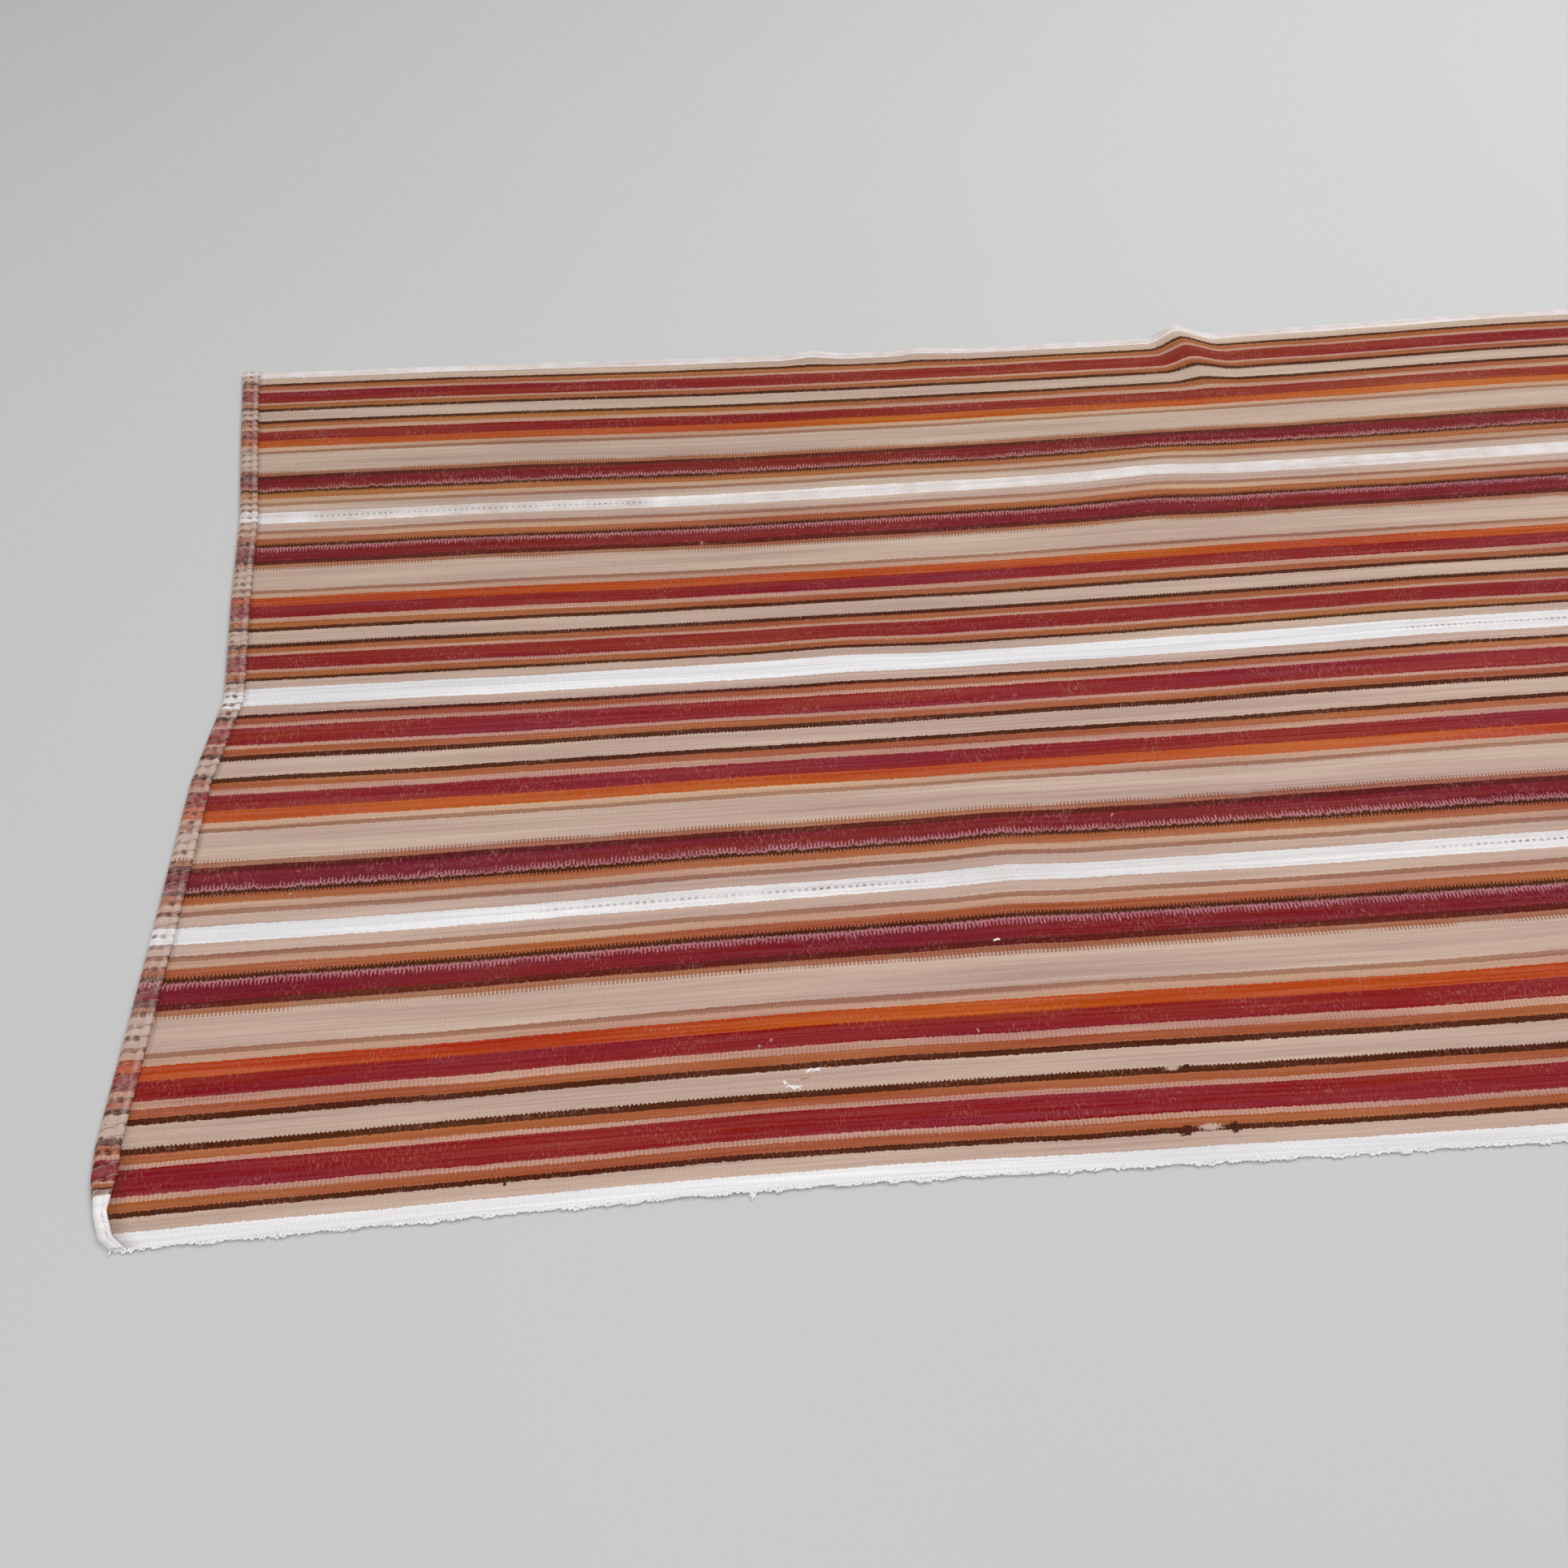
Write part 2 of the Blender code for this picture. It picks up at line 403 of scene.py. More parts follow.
class KilimStage(bpy.types.PropertyGroup):
    """Floor and lights."""

    floor_colour: bpy.props.FloatVectorProperty(
        name="Floor colour",
        description="Colour of the plain floor",
        default=(0.80, 0.80, 0.80),
        min=0.0,
        max=1.0,
        size=3,
        subtype="COLOR_GAMMA",
    )
    key_power: bpy.props.FloatProperty(
        name="Key light",
        description="Power of the large soft light at the far right",
        default=132.0,
        min=0.0,
        unit="POWER",
    )
    fill_power: bpy.props.FloatProperty(
        name="Fill light",
        description="Power of the soft light above the near side",
        default=55.0,
        min=0.0,
        unit="POWER",
    )
    sky_strength: bpy.props.FloatProperty(
        name="Surroundings",
        description="Strength of the even light from all round",
        default=0.50,
        min=0.0,
    )


# Shape of the cloth


def column(table, names, name):
    """One named column of a table."""
    return np.array([row[names.index(name)] for row in table], float)


def table_rows(table, names):
    """Rows of a table, each by its columns' names."""
    return [dict(zip(names, row)) for row in table]


def smooth_curve(places, values, at):
    """Values at some places of the smooth curve through others, which never passes beyond them."""
    gaps = np.diff(places)
    slopes = np.diff(values) / gaps
    tangents = np.zeros(len(places))
    for i in range(1, len(places) - 1):
        before, after = slopes[i - 1], slopes[i]
        if before * after > 0:
            tangents[i] = 2 * before * after / (before + after)
    i = np.clip(np.searchsorted(places, at) - 1, 0, len(gaps) - 1)
    t = np.clip((at - places[i]) / gaps[i], 0, 1)
    start = values[i] * (1 + 2 * t) * (1 - t) ** 2 + tangents[i] * gaps[i] * t * (1 - t) ** 2
    end = values[i + 1] * t * t * (3 - 2 * t) + tangents[i + 1] * gaps[i] * t * t * (t - 1)
    return start + end


def strip_width(sizes):
    """Width of one strip before its edges stray."""
    return sizes.width / len(PANELS)


def straight_y(line, sizes):
    """Y of a long edge or seam before it strays: 0 is the near edge, 4 the far edge."""
    return -sizes.width / 2 + line * strip_width(sizes)


def first_stitch_y(sizes):
    """Y where the plain corner ends and the hems' stitches begin."""
    return straight_y(0, sizes) + PLAIN_CORNER


def seam_y(line, x, sizes):
    """Y of a long edge or seam at x."""
    strays = column(STRAYS, STRAY_COLUMNS, STRAY_COLUMNS[line + 1]) * MM
    places = column(STRAYS, STRAY_COLUMNS, "x")
    return straight_y(line, sizes) + smooth_curve(places, strays, x)


def end_tips(y, sizes):
    """X of the tips of the cloth's middle surface at its left and right ends, at y."""
    across = (column(ENDS, END_COLUMNS, "share") - 0.5) * sizes.width
    left = -sizes.length / 2 + np.interp(y, across, column(ENDS, END_COLUMNS, "left end")) * MM
    right = sizes.length / 2 - np.interp(y, across, column(ENDS, END_COLUMNS, "right end")) * MM
    return left + sizes.cloth / 2, right - sizes.cloth / 2


def rise(x, y):
    """How far the folds lift the cloth from the floor."""
    height = np.zeros(np.broadcast(x, y).shape)
    for part in table_rows(FOLDS.values(), FOLD_COLUMNS):
        across = x - part["x"] - part["lean"] * (y - part["y"])
        across = across / np.where(across < 0, part["left"], part["right"])
        along = (y - part["y"]) / part["reach"]
        hump = np.clip(1 - np.abs(across) ** 1.5, 0, None) * np.clip(1 - along**2, 0, None)
        height = height + part["height"] * hump**2
    return height


def lie(x, y, sizes):
    """How far the cloth lies above the floor: folds, low unevenness and small puckers at the seams."""
    height = rise(x, y)
    for part in table_rows(WAVES, WAVE_COLUMNS):
        turn = 2 * math.pi * (part["along"] * x + part["across"] * y) + part["phase"]
        height = height + part["height"] * MM * (1 + np.sin(turn)) / 2
    for line in range(len(PANELS) + 1):
        away = (y - seam_y(line, x, sizes)) / PUCKER_REACH
        change = 1.7 * line + 2 * np.sin(2 * math.pi * x / PUCKER_CHANGE)
        pucker = (1 + np.sin(2 * math.pi * x / PUCKER_SPACING + change)) / 2
        height = height + PUCKER_HEIGHT * pucker * np.exp(-(away**2))
    return height


def turn_radius(sizes):
    """Radius of the cloth's middle surface where a hem turns over."""
    return (sizes.cloth + sizes.hem_space) / 2


def hem_depth(y, end, sizes):
    """Depth of a hem at y, to its tip; the left one narrows before the near corner."""
    if end == "right":
        return np.full(np.shape(y), sizes.hem_depth)
    full, narrow = (-sizes.width / 2 + distance for distance in HEM_NARROWS)
    return np.interp(y, (narrow, full), (sizes.hem_depth_at_corner, sizes.hem_depth))


def hem_line(y, sizes):
    """Length along the cloth from the left hem's cut edge to the place beneath that edge."""
    radius = turn_radius(sizes)
    flat = hem_depth(y, "left", sizes) - sizes.cloth / 2 - radius
    return 2 * flat + math.pi * radius


def hem_pull(y, sizes):
    """How far the stitches pull a hem down at y: 1 at a stitch, 0 halfway to the next."""
    places = y / sizes.hem_stitch
    away = np.abs(places - np.round(places)) * 2
    return (1 - away) ** 2


def hem_swell(y):
    """How much more or less than usual a hem swells at y."""
    return 1 + 0.30 * np.sin(97 * y + 2.0) * np.sin(41 * y) + 0.15 * np.sin(230 * y)


def hem_section(share, y, end, sizes):
    """Middle surface of a hem, at shares of its way from the cut edge to the bottom of its turn.

    Gives how far each point lies inside the tip, its height over the cloth's own middle surface,
    and its length along the cloth from the cut edge.
    """
    radius = turn_radius(sizes)
    flat = hem_depth(y, end, sizes) - sizes.cloth / 2 - radius
    turn = math.pi * radius
    from_edge = share * (flat + turn)
    inset = flat + radius - from_edge
    angle = np.clip((from_edge - flat) / radius, 0, math.pi)
    inset = np.where(from_edge < flat, inset, radius * (1 - np.sin(angle)))
    way = np.clip(from_edge / flat, 0, 1)
    pull = hem_pull(y, sizes)
    outer_roll = 0.75 * np.sin(math.pi * way / STITCH_LINE)
    inner_roll = np.sin(math.pi * (way - STITCH_LINE) / (1 - STITCH_LINE))
    rolls = np.where(way < STITCH_LINE, outer_roll, inner_roll)
    puff = sizes.hem_puff * np.clip(rolls, 0, None) ** 0.8 * (1 - 0.55 * pull) * hem_swell(y)
    dip = 0.6 * MM * np.exp(-(((way - STITCH_LINE) / 0.10) ** 2)) * pull
    height = radius * (1 + np.cos(angle)) + puff - dip
    return inset, height, from_edge


# Meshes


def edge_shares(sizes):
    """Shares of a strip's width where its mesh has points: close at the edges, to round them."""
    width = strip_width(sizes)
    rounded = sizes.edge_round * np.array([0.0, 0.12, 0.35, 0.65, 1.0]) / width
    inset = 0.004 / width
    inner = np.linspace(inset, 1 - inset, STEPS_ACROSS)
    return np.concatenate([rounded, inner, 1 - rounded[::-1]])


def strip_surface(index, sizes):
    """Middle surface of a strip from hem to hem, and each point's place in the cloth.

    The rows run along the strip and the columns across it. Gives the points, the length along the
    cloth, Y in the straight strip, the distance from the hem's cut edge, and how far the point takes
    part in the left hem's slip.
    """
    shares = edge_shares(sizes)
    y = (straight_y(index, sizes) + shares * strip_width(sizes))[None, :]
    left, right = end_tips(y, sizes)
    radius = turn_radius(sizes)
    flat, turned = HEM_STEPS
    hem_shares = [np.linspace(0, HEM_TURNS, flat)[:-1], np.linspace(HEM_TURNS, 1, turned)]
    hem_shares = np.concatenate(hem_shares)[:, None]
    parts = []
    inset, height, from_edge = hem_section(hem_shares, y, "left", sizes)
    hem_cloth = from_edge[-1]
    slipped = np.clip((1 - hem_shares) / (1 - HEM_TURNS), 0, 1) + 0 * y
    parts.append((left + inset, height, left + radius - hem_cloth + from_edge, from_edge, slipped))
    by_turn = np.array([0.0008, 0.0025, 0.005])
    middle = np.linspace(0.008, 0.992, STEPS_ALONG)
    floor = np.concatenate([by_turn, middle, 1 - by_turn[::-1]])
    x = left + radius + (right - left - 2 * radius) * floor[:, None]
    away = hem_cloth + x - left - radius
    parts.append((x, 0 * x, x, np.where(x < 0, away, hem_cloth + right - radius - x), 0 * x))
    inset, height, from_edge = hem_section(hem_shares[::-1], y, "right", sizes)
    along = right - radius + from_edge[0] - from_edge
    parts.append((right - inset, height, along, from_edge, 0 * from_edge))
    x, height, along, from_edge, slipped = (np.concatenate(group) for group in zip(*parts))

    gap = sizes.seam_gap / 2
    near = seam_y(index, x, sizes) + (gap if index > 0 else 0)
    far = seam_y(index + 1, x, sizes) - (gap if index + 1 < len(PANELS) else 0)
    strayed = near + (far - near) * shares[None, :]
    z = sizes.cloth / 2 + height + lie(x, strayed, sizes)
    points = np.stack([x, strayed, z], axis=-1)
    return points, along, y + 0 * x, from_edge, slipped


def surface_normals(points):
    """Unit normals of a grid of points."""
    along = np.gradient(points, axis=0)
    across = np.gradient(points, axis=1)
    normals = np.cross(along, across)
    return normals / np.linalg.norm(normals, axis=-1, keepdims=True)


def edge_thickness(distances, sizes):
    """Cloth thickness at distances from a woven or cut edge, rounded to the edge."""
    inside = np.clip(distances / sizes.edge_round, 0, 1)
    return sizes.cloth * np.maximum(np.sqrt(1 - (1 - inside) ** 2), 0.12)


def closed_sheet(name, points, thickness):
    """Mesh of a sheet with that thickness at each point of its middle surface, closed at its rim."""
    count, columns = points.shape[:2]
    half = surface_normals(points) * thickness[..., None] / 2
    number = np.arange(count * columns).reshape(count, columns)
    corners = (number[:-1, :-1], number[1:, :-1], number[1:, 1:], number[:-1, 1:])
    under = count * columns
    front = np.stack(corners, axis=-1).reshape(-1, 4)
    back = front[:, ::-1] + under
    rim = np.concatenate([number[:, 0], number[-1, 1:], number[-2::-1, -1], number[0, -2:0:-1]])
    after = np.roll(rim, -1)
    side = np.stack([after, rim, rim + under, after + under], axis=-1)
    mesh = bpy.data.meshes.new(name)
    shell = np.concatenate([(points + half).reshape(-1, 3), (points - half).reshape(-1, 3)])
    mesh.from_pydata(shell.tolist(), [], np.concatenate([front, back, side]).tolist())
    mesh.shade_smooth()
    return mesh


def write_uv(mesh, name, along, across):
    """UV map whose values are each point's own, in metres."""
    corners = np.zeros(len(mesh.loops), int)
    mesh.loops.foreach_get("vertex_index", corners)
    layer = mesh.uv_layers.new(name=name)
    layer.data.foreach_set("uv", np.stack([along[corners], across[corners]], axis=-1).ravel())


def both_faces(values):
    """Values over a sheet's middle surface, for the points of its front and then of its back."""
    return np.tile(values.ravel(), 2)


def write_mask(mesh, name, values):
    """Point attribute."""
    layer = mesh.attributes.new(name, "FLOAT", "POINT")
    layer.data.foreach_set("value", values.astype(np.float32))


def stripe_place(panel, share, sizes):
    """How far from the A edge of its stripes a point lies, at a share of its strip's width."""
    look = dict(zip(PANEL_COLUMNS, PANELS[panel]))
    width = strip_width(sizes)
    across = width * share + look["bow"] * MM * np.sin(math.pi * share)
    place = width - across if look["a edge"] == "far" else across
    return place + look["draw"] * MM * np.sin(math.pi * np.clip(place / 0.14, 0, 1))


def worn_places(panel, sizes):
    """Middles on the cloth, along and across its stripes, of a strip's worn places, and their rows."""
    index = list(PANELS).index(panel)
    for part in table_rows(WORN_PLACES, WORN_COLUMNS):
        near, far = (seam_y(line, part["x"], sizes) for line in (index, index + 1))
        share = (part["y"] - near) / (far - near)
        if 0 < share < 1:
            yield part["x"], stripe_place(panel, share, sizes), part


def seam_wear(line, x, kind):
    """How wide open or soiled a seam is at x, 0 to 1."""
    wear = np.zeros(np.shape(x))
    for part in table_rows(OPEN_SEAMS, OPEN_COLUMNS):
        if part["seam"] == line:
            inside = np.minimum(x - part["start"], part["end"] - x)
            wear = np.maximum(wear, part[kind] * np.clip(inside / WEAR_FADE, 0, 1))
    return wear * (0.7 + 0.3 * np.sin(x * 71) * np.sin(x * 43 + 1))


def strands(name, paths, radius, taper=0.35, sides=6):
    """Mesh of round strands along paths with the same number of points, thinner at their ends."""
    paths = np.asarray(paths, float)
    count, steps = paths.shape[:2]
    along = np.gradient(paths, axis=1)
    along /= np.linalg.norm(along, axis=-1, keepdims=True)
    nearly_up = np.array([0.013, 0.031, 1.0])
    beside = np.cross(along, nearly_up)
    beside /= np.linalg.norm(beside, axis=-1, keepdims=True)
    above = np.cross(beside, along)
    way = np.linspace(0, 1, steps)
    thick = radius * (1 - (1 - taper) * np.abs(2 * way - 1) ** 6)
    turn = np.arange(sides) * 2 * math.pi / sides
    ring = beside[:, :, None] * np.cos(turn)[:, None] + above[:, :, None] * np.sin(turn)[:, None]
    points = paths[:, :, None] + ring * thick[None, :, None, None]
    number = np.arange(count * steps * sides).reshape(count, steps, sides)
    after = np.roll(number, -1, axis=2)
    corners = (number[:, :-1], after[:, :-1], after[:, 1:], number[:, 1:])
    faces = np.stack(corners, axis=-1).reshape(-1, 4).tolist()
    faces += number[:, 0, ::-1].tolist() + number[:, -1].tolist()
    mesh = bpy.data.meshes.new(name)
    mesh.from_pydata(points.reshape(-1, 3).tolist(), [], faces)
    mesh.shade_smooth()
    length = np.concatenate([[0], np.cumsum(np.linalg.norm(np.diff(paths[0], axis=0), axis=-1))])
    spread = np.broadcast_to(length[None, :, None], number.shape).ravel()
    around = np.broadcast_to(np.arange(sides)[None, None] / sides, number.shape).ravel()
    own_start = number.ravel() // (steps * sides) * 0.0137
    write_uv(mesh, "yarn", spread + own_start, around)
    return mesh


def place_piece(name, mesh, material):
    """Object of the kilim that rides on the part."""
    piece = bpy.data.objects.new(name, mesh)
    bpy.context.scene.collection.objects.link(piece)
    mesh.materials.append(material)
    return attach(piece, "root")


# Materials


def linear(colour):
    """Colour as light, from the colour as it looks."""
    values = np.array(colour[:3], float)
    light = np.where(values <= 0.04045, values / 12.92, ((values + 0.055) / 1.055) ** 2.4)
    return (*light.tolist(), 1.0)


class Nodes:
    """Short words for adding nodes to a material or a node group."""

    def __init__(self, tree):
        self.tree = tree

    def feed(self, socket, value):
        """Link a socket or set its value."""
        if isinstance(value, bpy.types.NodeSocket):
            self.tree.links.new(value, socket)
        else:
            socket.default_value = value

    def fill(self, node, **inputs):
        """Feed a node's inputs by name, words joined by an underscore. Gives its outputs."""
        for name, value in inputs.items():
            self.feed(node.inputs[name.replace("_", " ").capitalize()], value)
        return node.outputs

    def add(self, kind, *values, label="", **settings):
        """Node of a kind with these settings, its first inputs fed with these values."""
        node = self.tree.nodes.new("ShaderNode" + kind)
        node.label = label
        for name, value in settings.items():
            setattr(node, name, value)
        for socket, value in zip(node.inputs, values):
            self.feed(socket, value)
        return node

    def math(self, operation, *values):
        """Result of a calculation."""
        return self.add("Math", *values, operation=operation).outputs[0]

    def times(self, first, second):
        """Product of two values."""
        return self.math("MULTIPLY", first, second)

    def plus(self, first, second):
        """Sum of two values."""
        return self.math("ADD", first, second)

    def minus(self, first, second):
        """Difference of two values."""
        return self.math("SUBTRACT", first, second)

    def over(self, first, second):
        """Quotient of two values."""
        return self.math("DIVIDE", first, second)

    def scaled(self, first, factor, second):
        """First value times a factor, plus the second."""
        return self.math("MULTIPLY_ADD", first, factor, second)

    def most(self, first, second):
        """Larger of two values."""
        return self.math("MAXIMUM", first, second)

    def apart(self, first, second):
        """Distance between two values."""
        return self.math("ABSOLUTE", self.minus(first, second))

    def field(self, first, second, scales, start=0.0):
        """Vector for noise: two places, each times its own scale, and where the noise starts."""
        places = (self.times(place, scale) for place, scale in zip((first, second), scales))
        return self.add("CombineXYZ", *places, start).outputs[0]

    def noise(self, vector, detail=2.0, roughness=0.5):
        """Soft noise, 0 to 1, over a vector in its own units."""
        node = self.add("TexNoise", noise_dimensions="3D")
        return self.fill(node, vector=vector, scale=1.0, detail=detail, roughness=roughness)["Fac"]

    def swing(self, vector, detail=2.0, roughness=0.5):
        """Soft noise, -0.5 to 0.5, over a vector in its own units."""
        return self.minus(self.noise(vector, detail, roughness), 0.5)

    def span(self, value, low, high, to_low=0.0, to_high=1.0):
        """Value moved smoothly from one range to another."""
        node = self.add("MapRange", value, low, high, to_low, to_high, interpolation_type="SMOOTHSTEP")
        return node.outputs[0]

    def mix(self, share, first, second, blend="MIX"):
        """Mix of two colours."""
        node = self.add("Mix", data_type="RGBA", blend_type=blend)
        for name, value in (("Factor_Float", share), ("A_Color", first), ("B_Color", second)):
            self.feed(next(s for s in node.inputs if s.identifier == name), value)
        return next(s for s in node.outputs if s.identifier == "Result_Color")

    def shade(self, colour, value):
        """Colour made lighter or darker by a value."""
        grey = self.add("CombineColor", value, value, value).outputs[0]
        return self.mix(1.0, colour, grey, "MULTIPLY")

    def uv_map(self, name):
        """The two values of a UV map."""
        return self.add("SeparateXYZ", self.add("UVMap", uv_map=name).outputs[0]).outputs[:2]

    def mask(self, name):
        """Value of a point attribute."""
        return self.add("Attribute", attribute_name=name).outputs["Fac"]

    def group(self, name, build, **inputs):
        """Outputs of a node group, built the first time it is asked for, its inputs fed by name."""
        node = self.tree.nodes.new("ShaderNodeGroup")
        node.node_tree = bpy.data.node_groups.get(name) or build(name)
        node.label = name
        return self.fill(node, **inputs)

    def deliver(self, **outputs):
        """Feed a node group's outputs by name. Gives the finished group."""
        self.fill(self.tree.nodes.new("NodeGroupOutput"), **outputs)
        return self.tree


def new_material(name):
    """New material, and short words for its nodes."""
    material = bpy.data.materials.new(name)
    material.use_nodes = True
    return material, Nodes(material.node_tree)


def new_group(name, inputs, outputs):
    """Short words for the nodes of a new node group, and the sockets of its inputs."""
    tree = bpy.data.node_groups.new(name, "ShaderNodeTree")
    for label, default in inputs.items():
        kind = "NodeSocketColor" if isinstance(default, tuple) else "NodeSocketFloat"
        tree.interface.new_socket(label, in_out="INPUT", socket_type=kind).default_value = default
    for label in outputs:
        kind = "NodeSocketColor" if label == "Colour" else "NodeSocketFloat"
        tree.interface.new_socket(label, in_out="OUTPUT", socket_type=kind)
    return Nodes(tree), tree.nodes.new("NodeGroupInput").outputs


def weave_group(name):
    """Warp-faced weave: which warp is up on a rib, the middle of each thread, and the relief.

    The threads of the odd ribs lie a step further across.
    """
    inputs = {
        "Along": 0.0,
        "Across": 0.0,
        "Rib": 0.0024,
        "Thread": 0.001,
        "Step": 0.0005,
        "Unevenness": 0.3,
    }
    nodes, given = new_group(name, inputs, ("Odd rib", "Thread middle", "Relief"))
    sway = nodes.swing(nodes.field(given["Along"], given["Across"], (9.0, 30.0)))
    ribs = nodes.over(nodes.plus(given["Along"], 10.0), given["Rib"])
    ribs = nodes.scaled(sway, nodes.times(given["Unevenness"], 4.0), ribs)
    odd = nodes.math("MODULO", nodes.math("FLOOR", ribs), 2.0)
    half = nodes.times(odd, nodes.over(given["Step"], given["Thread"]))
    threads = nodes.plus(nodes.over(given["Across"], given["Thread"]), half)
    count = nodes.minus(nodes.plus(nodes.math("FLOOR", threads), 0.5), half)
    arches = []
    for number in (ribs, threads):
        arch = nodes.math("SINE", nodes.times(nodes.math("FRACT", number), math.pi))
        arches.append(nodes.math("POWER", arch, 0.6))
    return nodes.deliver(
        odd_rib=odd,
        thread_middle=nodes.times(count, given["Thread"]),
        relief=nodes.times(arches[0], nodes.scaled(arches[1], 0.45, 0.55)),
    )


def abrash_group(name):
    """Uneven dye: streaks of a few threads along the stripes, and slow changes along the cloth."""
    inputs = {"Colour": MID_GREY, "Along": 0.0, "Across": 0.0, "Start": 0.0, "Amount": 0.2}
    nodes, given = new_group(name, inputs, ("Colour",))
    place = given["Along"], given["Across"]
    fine = nodes.swing(nodes.field(*place, (3.2, 330.0), given["Start"]), detail=3.0, roughness=0.6)
    slow = nodes.swing(nodes.field(*place, (1.7, 34.0), given["Start"]))
    hue = nodes.scaled(slow, 0.05, 0.5)
    saturation = nodes.scaled(fine, -0.35, 1.0)
    brightness = nodes.scaled(nodes.scaled(fine, 1.3, slow), given["Amount"], 1.0)
    dye = nodes.add("HueSaturation", hue, saturation, brightness, 1.0, given["Colour"])
    return nodes.deliver(colour=dye.outputs[0])


def lint_group(name):
    """Pale flecks of lint caught in the ribs."""
    inputs = {
        "Colour": MID_GREY,
        "Lint": MID_GREY,
        "Along": 0.0,
        "Across": 0.0,
        "Start": 0.0,
        "Amount": 0.5,
    }
    nodes, given = new_group(name, inputs, ("Colour",))
    place = given["Along"], given["Across"]
    flecks = nodes.field(*place, (480.0, 130.0), given["Start"])
    flecks = nodes.noise(flecks, detail=3.0, roughness=0.7)
    where = nodes.noise(nodes.field(*place, (14.0, 30.0), given["Start"]))
    share = nodes.times(nodes.span(flecks, 0.50, 0.70), nodes.span(where, 0.40, 0.66, 0.15, 1.0))
    share = nodes.times(share, given["Amount"])
    return nodes.deliver(colour=nodes.mix(share, given["Colour"], given["Lint"], "LIGHTEN"))


def worn_group(name):
    """Worn place: how bare the warp is, most at its middle and less around it."""
    inputs = {
        "Along": 0.0,
        "Across": 0.0,
        "Middle along": 0.0,
        "Middle across": 0.0,
        "Reach along": 0.01,
        "Reach across": 0.005,
        "Bareness": 1.0,
    }
    nodes, given = new_group(name, inputs, ("Worn",))
    away = 0.0
    for way in ("along", "across"):
        off = nodes.minus(given[way.capitalize()], given["Middle " + way])
        off = nodes.over(off, given["Reach " + way])
        away = nodes.scaled(off, off, away)
    faded = nodes.math("EXPONENT", nodes.times(away, -1.0))
    return nodes.deliver(worn=nodes.times(faded, given["Bareness"]))


def needle_group(name):
    """Row of needle holes that follows a hem: 1 in a hole, 0 beside it."""
    inputs = {"From edge": 0.0, "Along edge": 0.0, "Row": 0.01, "Pitch": 0.016, "Radius": 0.0015}
    nodes, given = new_group(name, inputs, ("Hole",))
    sway = nodes.swing(nodes.field(given["Row"], given["Along edge"], (1.0, 55.0)))
    across = nodes.scaled(sway, 0.006, nodes.minus(given["From edge"], given["Row"]))
    places = nodes.over(nodes.plus(given["Along edge"], 8.0), given["Pitch"])
    along = nodes.times(nodes.minus(places, nodes.math("ROUND", places)), given["Pitch"])
    away = nodes.math("SQRT", nodes.scaled(across, across, nodes.times(along, along)))
    openness = nodes.noise(nodes.field(given["Along edge"], given["Row"], (47.0, 300.0)))
    hole = nodes.span(nodes.over(away, given["Radius"]), 1.35, 0.45)
    return nodes.deliver(hole=nodes.times(hole, nodes.span(openness, 0.36, 0.62, 0.1, 1.0)))


def spun_group(name):
    """Spun yarn: the painted shade of its twist, darker where its relief is low, and that relief."""
    inputs = {"Along": 0.0, "Around": 0.0, "Twist": 0.003, "Contrast": 0.25}
    nodes, given = new_group(name, inputs, ("Shade", "Relief"))
    turns = nodes.plus(nodes.over(given["Along"], given["Twist"]), given["Around"])
    ply = nodes.math("SINE", nodes.times(turns, 4 * math.pi))
    hairs = nodes.noise(nodes.field(given["Along"], given["Around"], (900.0, 1.0)))
    relief = nodes.scaled(ply, 0.4, hairs)
    shade = nodes.scaled(nodes.minus(relief, 0.5), given["Contrast"], 1.0)
    return nodes.deliver(shade=shade, relief=relief)


def matt_wool(nodes, colour, relief, bump, roughness, sheen):
    """Feed a material's Principled shader with matt wool. The bump has a strength and a depth."""
    strength, depth = bump
    normal = nodes.fill(nodes.add("Bump"), strength=strength, distance=depth, height=relief)[0]
    shader = nodes.tree.nodes["Principled BSDF"]
    for name, value in (
        ("Base Color", colour),
        ("Roughness", roughness),
        ("Specular IOR Level", 0.05),
        ("Sheen Weight", sheen),
        ("Sheen Roughness", 0.6),
        ("Normal", normal),
    ):
        nodes.feed(shader.inputs[name], value)


def stripe_ramp(nodes, place, ribs, yarns):
    """Colour of the stripe at a place across a strip, for the even or the odd ribs."""
    ramp = nodes.add("ValToRGB", place, label=ribs)
    ramp.color_ramp.interpolation = "CONSTANT"
    stops = ramp.color_ramp.elements
    stops.remove(stops[1])
    start = 0.0
    total = column(STRIPES, STRIPE_COLUMNS, "width").sum()
    for part in table_rows(STRIPES, STRIPE_COLUMNS):
        stop = stops[0] if start == 0 else stops.new(start / total)
        stop.color = linear(getattr(yarns, part[ribs]))
        start += part["width"]
    return ramp.outputs["Color"]


def stray_of_stripes(nodes, along, across, start):
    """How far the stripes' edges stray: slowly, raggedly, and in teeth beside the pink stripe."""
    slow = nodes.swing(nodes.field(along, across, (5.0, 14.0), start))
    ragged = nodes.swing(nodes.field(along, across, (260.0, 45.0), start), detail=3.0, roughness=0.7)
    teeth = nodes.swing(nodes.field(along, across, (420.0, 12.0), start))
    length_of_teeth = nodes.span(nodes.apart(across, TOOTHED_EDGE), 0.004, 0.014, 0.020, 0.0)
    stray = nodes.scaled(ragged, 0.0050, nodes.times(slow, 0.0050))
    return nodes.scaled(teeth, length_of_teeth, stray)


